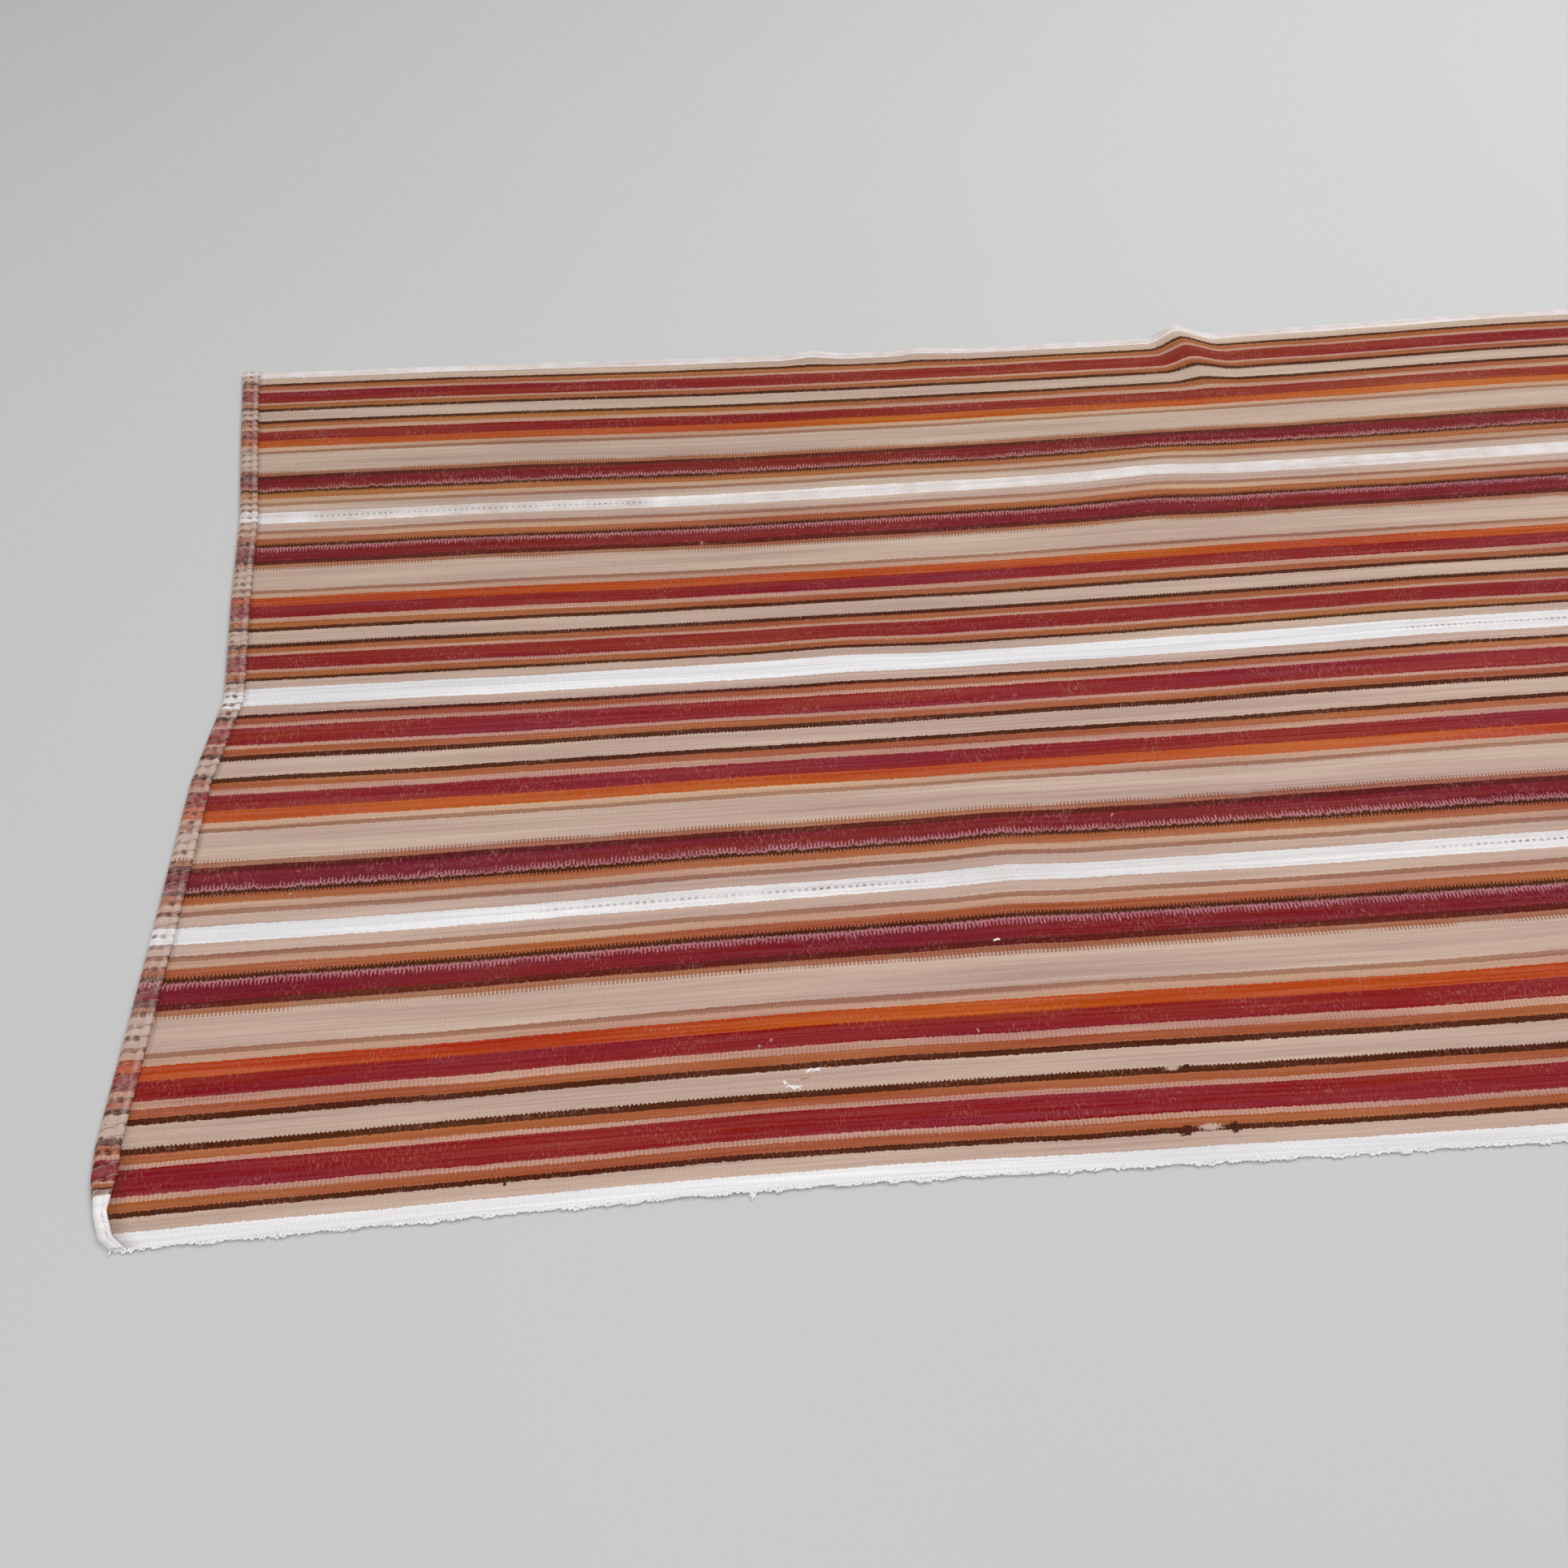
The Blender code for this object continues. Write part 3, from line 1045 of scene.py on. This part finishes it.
def bare_warp(nodes, along, across, panel, sizes):
    """Share of bare warp: the worn places, with ragged rims."""
    frayed = nodes.swing(nodes.field(along, across, (330.0, 500.0)), detail=3.0, roughness=0.7)
    worn = 0.0
    for middle_along, middle_across, part in worn_places(panel, sizes):
        place = nodes.group(
            "worn place",
            worn_group,
            along=along,
            across=across,
            middle_along=middle_along,
            middle_across=middle_across,
            reach_along=part["along"] * MM,
            reach_across=part["across"] * MM,
            bareness=part["bareness"],
        )
        worn = nodes.most(worn, place["Worn"])
    return nodes.span(nodes.scaled(frayed, 1.8, worn), 0.55, 0.75)


def seam_marks(nodes, colour, along, across, sizes, yarns):
    """Colour with the soil along the seams, and painted grey shade in the gaps between the stitches of
    open ones.
    """
    from_side = nodes.math("MINIMUM", across, nodes.minus(strip_width(sizes), across))
    soiled = nodes.times(nodes.mask("soiled seam"), nodes.span(from_side, 0.012, 0.018, 1.0, 0.0))
    cloud = nodes.noise(nodes.field(along, across, (40.0, 150.0)))
    soiled = nodes.times(soiled, nodes.span(cloud, 0.25, 0.70, 0.45, 1.0))
    colour = nodes.mix(soiled, colour, linear(yarns.beige))

    # Painted shade in the gaps between the stitches where a seam is open
    sway = nodes.noise(nodes.field(along, 0.0, (60.0, 1.0)))
    turns = nodes.scaled(sway, 5.0, nodes.times(along, 2 * math.pi / sizes.seam_stitch))
    between = nodes.span(nodes.math("SINE", turns), -0.25, 0.35)
    gap = nodes.times(nodes.mask("open seam"), between)
    gap = nodes.times(gap, nodes.span(from_side, 0.0007, 0.0024, 1.0, 0.0))
    return nodes.mix(gap, colour, linear(yarns.seam_shadow))


def rubbed_and_lit_hem(nodes, from_edge, along_edge, start, sizes):
    """Share of pale wool on a hem: at its cut edge, where it is partly worn by rubbing and partly a
    painted highlight on the ridge, on its fold, and a little all over.
    """
    # Pale band by the cut edge: partly wool worn by rubbing, partly a painted highlight on the ridge
    # there
    lit_and_rubbed_at_cut = nodes.span(nodes.apart(from_edge, 0.005), 0.001, 0.005, 0.48, 0.0)
    at_fold = nodes.span(nodes.apart(from_edge, sizes.hem_depth), 0.0, 0.008, 0.45, 0.0)
    on_hem = nodes.span(from_edge, sizes.hem_depth, sizes.hem_depth + 0.003, 0.24, 0.0)
    rubbed = nodes.most(nodes.most(lit_and_rubbed_at_cut, at_fold), on_hem)
    tufts = nodes.noise(nodes.field(from_edge, along_edge, (110.0, 75.0), start))
    rubbed = nodes.times(rubbed, nodes.span(tufts, 0.30, 0.68, 0.15, 1.0))
    corner = first_stitch_y(sizes)
    return nodes.times(rubbed, nodes.span(along_edge, corner + 0.02, corner + 0.08, 0.35, 1.0))


def needle_holes(nodes, from_edge, along_edge, sizes):
    """Share of needle hole: rows of them along the hems, but none in the plain corner."""
    hole = 0.0
    for share, radius in NEEDLE_ROWS:
        row = nodes.group(
            "needle holes",
            needle_group,
            from_edge=from_edge,
            along_edge=along_edge,
            row=share * sizes.hem_depth,
            pitch=sizes.hem_stitch,
            radius=radius * MM,
        )
        hole = nodes.most(hole, row["Hole"])
    corner = first_stitch_y(sizes)
    return nodes.times(hole, nodes.span(along_edge, corner - 0.004, corner + 0.004))


def hem_shadow(nodes, along_edge, sizes):
    """Dark line beside a hem, stronger in places, and wide soft shade beside its near corner."""
    beside_hem = nodes.mask("beside hem")
    starts = nodes.span(beside_hem, 0.0, 0.001)
    line = nodes.times(starts, nodes.span(beside_hem, 0.003, 0.007, 1.0, 0.0))
    depth = nodes.noise(nodes.field(along_edge, 0.0, (9.0, 1.0)))
    line = nodes.times(line, nodes.span(depth, 0.35, 0.65, 0.05, 0.28))
    corner = first_stitch_y(sizes)
    wide = nodes.times(starts, nodes.span(beside_hem, 0.0, 0.024, 0.38, 0.0))
    wide = nodes.times(wide, nodes.span(along_edge, corner + 0.03, corner + 0.09, 1.0, 0.0))
    return nodes.most(line, wide)


def striped_wool(name, panel, sizes, yarns):
    """Striped warp-faced wool with uneven dye, lint, worn places and the hems' needle holes, with
    painted shade in its grooves, in the needle holes and beside the hems, and a painted highlight by
    the hems' cut edges.
    """
    look = dict(zip(PANEL_COLUMNS, PANELS[panel]))
    start = look["start"]
    material, nodes = new_material(name)
    along, across = nodes.uv_map("cloth")
    from_edge, along_edge = nodes.uv_map("hem")

    weave = nodes.group(
        "warp-faced weave",
        weave_group,
        along=along,
        across=nodes.plus(across, stray_of_stripes(nodes, along, across, start)),
        rib=sizes.rib,
        thread=sizes.warp_thread,
        step=0.0008,
        unevenness=0.30,
    )
    share = nodes.over(weave["Thread middle"], strip_width(sizes))
    even, odd = (stripe_ramp(nodes, share, ribs, yarns) for ribs in ("even ribs", "odd ribs"))
    combed = nodes.noise(nodes.field(along, across, (11.0, 9.0), start))
    combed = nodes.span(combed, 0.34, 0.50, 0.25, 1.0)
    colour = nodes.mix(nodes.times(weave["Odd rib"], combed), even, odd)

    abrash = nodes.group(
        "uneven dye",
        abrash_group,
        colour=colour,
        along=along,
        across=weave["Thread middle"],
        start=start,
        amount=0.55,
    )
    lint = nodes.group(
        "lint",
        lint_group,
        colour=abrash["Colour"],
        lint=linear(yarns.blush),
        along=along,
        across=across,
        start=start,
        amount=0.50,
    )
    hue = 0.5 + look["warmth"] / 360
    tone = nodes.add("HueSaturation", hue, look["saturation"], look["brightness"], 1.0, lint["Colour"])
    bare = bare_warp(nodes, along, across, panel, sizes)
    colour = nodes.mix(bare, tone.outputs[0], linear(yarns.beige))
    colour = seam_marks(nodes, colour, along, across, sizes, yarns)

    # Pale wool worn by rubbing on the hems, with a painted highlight by their cut edges
    rubbed = rubbed_and_lit_hem(nodes, from_edge, along_edge, start, sizes)
    colour = nodes.mix(rubbed, colour, linear(yarns.rubbed))
    hole = needle_holes(nodes, from_edge, along_edge, sizes)
    # Painted shade in the needle holes: dark brown mixed in where there is a hole
    colour = nodes.mix(nodes.times(hole, 0.80), colour, linear(yarns.brown))
    colour = nodes.mix(hem_shadow(nodes, along_edge, sizes), colour, linear(yarns.brown))
    # Painted shade in the weave's grooves: the colour is darker where the relief is low
    colour = nodes.shade(colour, nodes.span(weave["Relief"], 0.0, 0.55, 0.62, 1.0))

    hairs = nodes.noise(nodes.field(along, across, (1500.0, 700.0)))
    relief = nodes.scaled(hairs, 0.25, weave["Relief"])
    relief = nodes.minus(relief, nodes.times(hole, 1.5))
    relief = nodes.scaled(bare, -0.5, relief)
    roughness = nodes.span(weave["Relief"], 0.0, 1.0, 0.95, 0.78)
    matt_wool(nodes, colour, relief, (0.75, 0.0006), roughness, sheen=0.02)
    return material


def spun_yarn(name, colour):
    """Plain spun yarn or sewing thread."""
    material, nodes = new_material(name)
    along, around = nodes.uv_map("yarn")
    spun = nodes.group(
        "spun yarn", spun_group, along=along, around=around, twist=0.0026, contrast=0.22
    )
    # Painted shade of the twist: darker in the grooves between the plies
    colour = nodes.shade(linear(colour), spun["Shade"])
    roughness = nodes.span(spun["Relief"], 0.0, 1.0, 0.95, 0.80)
    matt_wool(nodes, colour, spun["Relief"], (0.5, 0.0003), roughness, sheen=0.06)
    return material


def plain_floor(colour):
    """Plain matt floor with a barely uneven tone."""
    material, nodes = new_material("plain floor")
    place = nodes.add("TexCoord").outputs["Object"]
    cloud = nodes.noise(place, detail=3.0)
    shader = material.node_tree.nodes["Principled BSDF"]
    shader.inputs["Specular IOR Level"].default_value = 0.2
    light = linear(colour)
    darker = (*(0.96 * value for value in light[:3]), 1.0)
    nodes.feed(shader.inputs["Base Color"], nodes.mix(cloud, darker, light))
    nodes.feed(shader.inputs["Roughness"], nodes.span(cloud, 0.0, 1.0, 0.80, 0.90))
    return material


# Pieces


def weave_strip(panel, sizes, yarns):
    """One woven strip with its hems, which stands for its CAD solid."""
    index = list(PANELS).index(panel)
    points, along, straight, from_edge, slipped = strip_surface(index, sizes)
    width = strip_width(sizes)
    shares = edge_shares(sizes)
    woven = edge_thickness(np.minimum(shares, 1 - shares) * width, sizes)
    thickness = np.minimum(woven[None, :], edge_thickness(from_edge, sizes))
    mesh = closed_sheet("panel_" + panel, points, thickness)

    slip_y, slips = (column(SLIPS, SLIP_COLUMNS, name) for name in SLIP_COLUMNS)
    slip = np.interp(straight, slip_y, slips) * MM
    slipped_share = (straight + slip * slipped - straight_y(index, sizes)) / width
    across = stripe_place(panel, slipped_share, sizes)
    across = width - np.abs(width - np.abs(across))
    write_uv(mesh, "cloth", both_faces(along), both_faces(across))
    write_uv(mesh, "hem", both_faces(from_edge), both_faces(straight))
    write_mask(mesh, "beside hem", both_faces(from_edge - hem_line(straight, sizes)))
    for name, kind in (("open seam", "gaps"), ("soiled seam", "soil")):
        near_wear, far_wear = (seam_wear(line, points[..., 0], kind) for line in (index, index + 1))
        write_mask(mesh, name, both_faces(np.where(shares < 0.5, near_wear, far_wear)))
    wool = striped_wool("striped wool " + panel, panel, sizes, yarns)
    strip = place_piece("woven_" + panel, mesh, wool)
    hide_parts("panel_" + panel)


def face_height(x, y, sizes):
    """Height of the cloth's face where it has no hem."""
    return sizes.cloth + lie(x, y, sizes)


def seam_stitches(line, sizes):
    """Slanting stitches across a seam, which draw its two white edges together."""
    left, right = end_tips(straight_y(line, sizes), sizes)
    start, end = left + sizes.hem_depth, right - sizes.hem_depth
    x = np.arange(start, end, sizes.seam_stitch)
    random = np.random.default_rng(SEEDS["seam stitches"] + line)
    x = x + random.uniform(-0.12, 0.12, len(x)) * sizes.seam_stitch
    reach = random.uniform(0.0017, 0.0025, len(x))
    lean = random.uniform(0.0008, 0.0020, len(x))
    way = np.linspace(-1, 1, 7)[None, :]
    px = x[:, None] + way * lean[:, None]
    py = seam_y(line, px, sizes) + way * reach[:, None]
    lift = np.where(np.abs(way) == 1, -0.0005, 0.00035 * (1 - way**2) + 0.00005)
    pz = face_height(px, py, sizes) + lift
    return strands("seam stitches", np.stack([px, py, pz], axis=-1), STITCH_RADIUS)


def seam_yarn(line, sizes):
    """Yarn that fills a seam between its strips, and lies deeper where the seam is open."""
    left, right = end_tips(straight_y(line, sizes), sizes)
    x = np.linspace(left + sizes.hem_depth, right - sizes.hem_depth, SEAM_YARN_STEPS)
    y = seam_y(line, x, sizes) + 0.00012 * np.sin(x * 900 + 2 * np.sin(x * 130))
    z = face_height(x, y, sizes) - 0.00055 - 0.0007 * seam_wear(line, x, "gaps")
    return strands("seam yarn", [np.stack([x, y, z], axis=-1)], sizes.seam_yarn / 2, taper=0.9)


def hem_point(share, y, end, lift, sizes):
    """Points over the hem's outside, lifted from it, at shares of its way from the cut edge."""
    ahead = np.clip(share + 0.01, 0, 1)
    behind = np.clip(share - 0.01, 0, 1)
    inset, height, _ = hem_section(share, y, end, sizes)
    inset_ahead, height_ahead, _ = hem_section(ahead, y, end, sizes)
    inset_behind, height_behind, _ = hem_section(behind, y, end, sizes)
    run, climb = inset_behind - inset_ahead, height_ahead - height_behind
    out = (sizes.cloth / 2 + lift) / np.hypot(run, climb)
    inset = inset + out * climb
    height = height + out * run
    tips = end_tips(y, sizes)
    x = tips[0] + inset if end == "left" else tips[1] - inset
    return x, height


def hem_stitch_paths(index, end, sizes):
    """Stitches over a strip's hem: one down to its cut edge and one over its fold from each hole."""
    near, far = straight_y(index, sizes) + 0.006, straight_y(index + 1, sizes) - 0.006
    near = max(near, first_stitch_y(sizes))
    first, last = math.ceil(near / sizes.hem_stitch), math.floor(far / sizes.hem_stitch)
    right_end = 10 if end == "right" else 0
    random = np.random.default_rng(SEEDS["hem stitches"] + index + right_end)
    way = np.linspace(0, 1, 13)[None, :]
    holes = np.arange(first, last + 1)[:, None] * sizes.hem_stitch
    paths = []
    for start, stop, slant in STITCH_WAYS:
        y = holes + slant * way + random.uniform(-0.0012, 0.0012, holes.shape)
        share = start + (stop - start) * way
        ends = np.abs(2 * way - 1) ** 8
        x, height = hem_point(np.clip(share, 0, 1), y, end, 0.0004 - 0.0011 * ends, sizes)
        x = x - np.where(share < 0, share, 0) * sizes.hem_depth * (-1 if end == "left" else 1)
        height = height - np.where(share < 0, 0.0018, 0)
        strayed = y - straight_y(index, sizes)
        low, high = seam_y(index, x, sizes), seam_y(index + 1, x, sizes)
        py = low + (high - low) * strayed / strip_width(sizes)
        pz = sizes.cloth / 2 + height + lie(x, py, sizes)
        paths.append(np.stack([x, py, pz], axis=-1))
    return np.concatenate(paths)


def edge_loops(sizes):
    """Loose loops of weft yarn where it turns back at the near edge, longer in some places."""
    left, right = end_tips(straight_y(0, sizes), sizes)
    random = np.random.default_rng(SEEDS["edge loops"])
    x = np.arange(left + 0.002, right - 0.002, LOOP_SPACING)
    x = x + random.uniform(-0.4, 0.4, len(x)) * LOOP_SPACING
    slow = np.sin(x * 61 + 1.3) * np.sin(x * 23) + 0.6 * np.sin(x * 170 + 2 * np.sin(x * 37))
    out = 0.35 + 0.35 * slow + random.uniform(-0.25, 0.35, len(x))
    out = sizes.fluff * np.clip(out, 0.08, 1.3)
    half = random.uniform(0.8, 1.5, len(x)) * LOOP_SPACING
    lean = random.uniform(-1.0, 1.0, len(x)) * LOOP_SPACING
    way = np.linspace(-1, 1, 9)[None, :]
    px = x[:, None] + half[:, None] * way + lean[:, None] * (1 - way**2)
    py = seam_y(0, px, sizes) + 0.0025 - (out[:, None] + 0.0025) * (1 - way**4)
    middle = np.clip(random.uniform(0.2, 0.9, len(x)) * sizes.cloth, LOOP_RADIUS + 0.0001, None)
    pz = middle[:, None] + lie(px, np.maximum(py, seam_y(0, px, sizes)), sizes)
    return np.stack([px, py, pz], axis=-1)


def loose_hairs(sizes):
    """Fine hairs at the near edge."""
    left, right = end_tips(straight_y(0, sizes), sizes)
    random = np.random.default_rng(SEEDS["edge hairs"])
    x = random.uniform(left + 0.002, right - 0.002, HAIRS)
    length = random.gamma(2.0, 0.0011, HAIRS).clip(0.0008, 0.007)
    heading = random.normal(0, 0.9, HAIRS)
    bend = random.normal(0, 1.1, HAIRS)
    start = random.uniform(-0.001, 0.0022, HAIRS)
    way = np.linspace(0, 1, 6)[None, :]
    turn = heading[:, None] + bend[:, None] * way
    px = x[:, None] + length[:, None] * way * np.sin(turn)
    py = seam_y(0, x, sizes)[:, None] - start[:, None] - length[:, None] * way * np.cos(turn)
    pz = 0.0004 + random.uniform(0, 0.0016, HAIRS)[:, None] * (1 - 0.6 * way)
    pz = pz + lie(px, py, sizes) * 0.6
    return np.stack([px, py, pz], axis=-1)


def thread_end(x, length, sizes):
    """One frayed end of yarn that sticks out from the near edge."""
    way = np.linspace(0, 1, 9)
    px = x + 0.0012 * np.sin(3.5 * way)
    py = seam_y(0, np.full(len(way), x), sizes) + 0.004 - (length + 0.004) * way
    pz = THREAD_END_RADIUS + lie(px, py, sizes) * (1 - way)
    return np.stack([px, py, pz], axis=-1)


def knot_paths(yarn, sizes):
    """Knots and slubs of one yarn: a few short strands that cross on the face."""
    random = np.random.default_rng(SEEDS["knots"])
    paths = []
    for part in table_rows(KNOTS, KNOT_COLUMNS):
        if part["yarn"] != yarn:
            continue
        for _ in range(3):
            turn = math.radians(part["turn"]) + random.normal(0, 0.5)
            way = np.linspace(-0.5, 0.5, 8)
            bow = random.normal(0, 0.25) * (0.25 - way**2)
            length = part["length"] * MM * random.uniform(0.6, 1.0)
            px = part["x"] + length * (way * math.cos(turn) - bow * math.sin(turn))
            py = part["y"] + length * (way * math.sin(turn) + bow * math.cos(turn))
            pz = face_height(px, py, sizes) + 0.0008 * (1 - 4 * way**2) - 0.0002
            paths.append(np.stack([px, py, pz], axis=-1))
    return paths


class KILIM_OT_weave_strips(bpy.types.Operator):
    """Weave the four striped strips, hems turned over"""

    bl_idname = "kilim.weave_strips"
    bl_label = "Weave strips"

    def execute(self, context):
        for panel in PANELS:
            weave_strip(panel, context.scene.kilim_sizes, context.scene.kilim_yarns)
        return {"FINISHED"}


class KILIM_OT_sew_seams(bpy.types.Operator):
    """Sew the three seams between the strips"""

    bl_idname = "kilim.sew_seams"
    bl_label = "Sew seams"

    def execute(self, context):
        sizes, yarns = context.scene.kilim_sizes, context.scene.kilim_yarns
        thread = spun_yarn("seam thread", yarns.white)
        filler = spun_yarn("seam yarn", yarns.seam_yarn)
        for line, name in enumerate(SEAMS, start=1):
            place_piece(f"seam_stitches_{name}", seam_stitches(line, sizes), thread)
            place_piece(f"seam_yarn_{name}", seam_yarn(line, sizes), filler)
        return {"FINISHED"}


class KILIM_OT_sew_hems(bpy.types.Operator):
    """Sew down the hems at both ends"""

    bl_idname = "kilim.sew_hems"
    bl_label = "Sew hems"

    def execute(self, context):
        sizes, yarns = context.scene.kilim_sizes, context.scene.kilim_yarns
        thread = spun_yarn("hem thread", yarns.sewing_thread)
        for index, panel in enumerate(PANELS):
            paths = [hem_stitch_paths(index, end, sizes) for end in ("left", "right")]
            mesh = strands("hem stitches", np.concatenate(paths), STITCH_RADIUS)
            place_piece(f"hem_stitches_{panel}", mesh, thread)
        return {"FINISHED"}


class KILIM_OT_fluff_near_edge(bpy.types.Operator):
    """Loosen the yarn along the near edge"""

    bl_idname = "kilim.fluff_near_edge"
    bl_label = "Fluff near edge"

    def execute(self, context):
        sizes, yarns = context.scene.kilim_sizes, context.scene.kilim_yarns
        white = spun_yarn("loose white yarn", yarns.white)
        loops = strands("edge loops", edge_loops(sizes), LOOP_RADIUS, taper=0.7, sides=5)
        place_piece("edge_loops", loops, white)
        hairs = strands("edge hairs", loose_hairs(sizes), HAIR_RADIUS, sides=3)
        place_piece("edge_hairs", hairs, white)
        ends = [thread_end(x, length * MM, sizes) for x, length in THREAD_ENDS]
        ends = strands("thread ends", ends, THREAD_END_RADIUS, taper=0.2)
        place_piece("edge_thread_ends", ends, white)
        return {"FINISHED"}


class KILIM_OT_tie_knots(bpy.types.Operator):
    """Add the knots and slubs on the face"""

    bl_idname = "kilim.tie_knots"
    bl_label = "Tie knots"

    def execute(self, context):
        sizes, yarns = context.scene.kilim_sizes, context.scene.kilim_yarns
        for yarn in dict.fromkeys(knot[KNOT_COLUMNS.index("yarn")] for knot in KNOTS):
            material = spun_yarn("knotted yarn " + yarn, getattr(yarns, yarn))
            mesh = strands("knots", knot_paths(yarn, sizes), KNOT_RADIUS)
            place_piece(f"knots_{yarn}", mesh, material)
        return {"FINISHED"}


class KILIM_OT_declare_cloth(bpy.types.Operator):
    """List for each strip the pieces that go with it; the lists are not used further"""

    bl_idname = "kilim.declare_cloth"
    bl_label = "Declare cloth"

    def execute(self, context):
        seams = dict(zip(list(PANELS)[1:], SEAMS))
        for panel in PANELS:
            goes_with = [f"hem_stitches_{panel}"]
            if panel in seams:
                goes_with += [f"seam_stitches_{seams[panel]}", f"seam_yarn_{seams[panel]}"]
            if panel == "near":
                goes_with += ["edge_loops", "edge_hairs", "edge_thread_ends"]
        return {"FINISHED"}


# Stage


def aim(place, forward, roll=0.0):
    """Matrix of a camera or light at a place, looking forward, its top up."""
    forward = Vector(forward).normalized()
    level = forward.cross(Vector((0, 0, 1))).normalized()
    upright = level.cross(forward)
    right = level * math.cos(roll) + upright * math.sin(roll)
    up = upright * math.cos(roll) - level * math.sin(roll)
    axes = Matrix((right, up, -forward)).transposed().to_4x4()
    return Matrix.Translation(place) @ axes


def soft_light(name, place, towards, side, power):
    """Large square light."""
    light = bpy.data.lights.new(name, "AREA")
    light.shape = "SQUARE"
    light.size = side
    light.energy = power
    lamp = bpy.data.objects.new(name, light)
    bpy.context.scene.collection.objects.link(lamp)
    lamp.matrix_world = aim(place, Vector(towards) - Vector(place))


class KILIM_OT_set_stage(bpy.types.Operator):
    """Set the plain floor, the soft lights and the camera"""

    bl_idname = "kilim.set_stage"
    bl_label = "Set stage"

    def execute(self, context):
        scene, stage = context.scene, context.scene.kilim_stage
        mesh = bpy.data.meshes.new("floor")
        turns = ((-1, -1), (1, -1), (1, 1), (-1, 1))
        corners = [(x * FLOOR_REACH, y * FLOOR_REACH, 0) for x, y in turns]
        mesh.from_pydata(corners, [], [(0, 1, 2, 3)])
        mesh.materials.append(plain_floor(stage.floor_colour))
        floor = bpy.data.objects.new("floor", mesh)
        floor.location.z = -FLOOR_DROP
        scene.collection.objects.link(floor)
        floor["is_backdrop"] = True

        for (name, light), power in zip(LIGHTS.items(), (stage.key_power, stage.fill_power)):
            soft_light(name, *light, power)
        world = bpy.data.worlds.new("surroundings")
        world.use_nodes = True
        background = world.node_tree.nodes["Background"]
        background.inputs["Color"].default_value = (1.0, 1.0, 1.0, 1.0)
        background.inputs["Strength"].default_value = stage.sky_strength
        scene.world = world
        scene.view_settings.view_transform = "Standard"

        camera = bpy.data.objects.new("camera", bpy.data.cameras.new("camera"))
        scene.collection.objects.link(camera)
        camera.data.lens, camera.data.sensor_width = CAMERA_LENS, CAMERA_SENSOR
        forward = (
            math.sin(CAMERA_TURN) * math.cos(CAMERA_DOWN),
            math.cos(CAMERA_TURN) * math.cos(CAMERA_DOWN),
            -math.sin(CAMERA_DOWN),
        )
        camera.matrix_world = aim(CAMERA_PLACE, forward, CAMERA_ROLL)
        scene.camera = camera
        return {"FINISHED"}


class KILIM_PT_sidebar(bpy.types.Panel):
    """Sizes, yarns and steps of the kilim"""

    bl_idname = "KILIM_PT_sidebar"
    bl_label = "Kilim"
    bl_space_type = "VIEW_3D"
    bl_region_type = "UI"
    bl_category = "Kilim"

    def draw(self, context):
        for title, settings in SETTINGS.items():
            box = self.layout.box()
            box.label(text=title)
            group = getattr(context.scene, settings[0])
            for name in settings[1].__annotations__:
                box.prop(group, name)
        for step in STEPS:
            self.layout.operator(step.bl_idname)


SETTINGS = {
    "Sizes": ("kilim_sizes", KilimSizes),
    "Yarns": ("kilim_yarns", KilimYarns),
    "Stage": ("kilim_stage", KilimStage),
}
STEPS = (
    KILIM_OT_set_stage,
    KILIM_OT_weave_strips,
    KILIM_OT_sew_seams,
    KILIM_OT_sew_hems,
    KILIM_OT_fluff_near_edge,
    KILIM_OT_tie_knots,
    KILIM_OT_declare_cloth,
)


def register():
    """Register the settings, the steps and the sidebar."""
    for name, settings in SETTINGS.values():
        bpy.utils.register_class(settings)
        setattr(bpy.types.Scene, name, bpy.props.PointerProperty(type=settings))
    for step in STEPS:
        bpy.utils.register_class(step)
    bpy.utils.register_class(KILIM_PT_sidebar)


def unregister():
    """Undo register."""
    bpy.utils.unregister_class(KILIM_PT_sidebar)
    for step in reversed(STEPS):
        bpy.utils.unregister_class(step)
    for name, settings in SETTINGS.values():
        delattr(bpy.types.Scene, name)
        bpy.utils.unregister_class(settings)


def main():
    """Make the kilim and its stage, and take the bounds of its CAD and visual pieces."""
    register()
    for step in STEPS:
        family, word = step.bl_idname.split(".")
        getattr(getattr(bpy.ops, family), word)()
    boxes = {"cad": CAD_BOX, "visual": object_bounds()}
    {name: [list(corner) for corner in box] for name, box in boxes.items()}


if __name__ == "__main__":
    main()
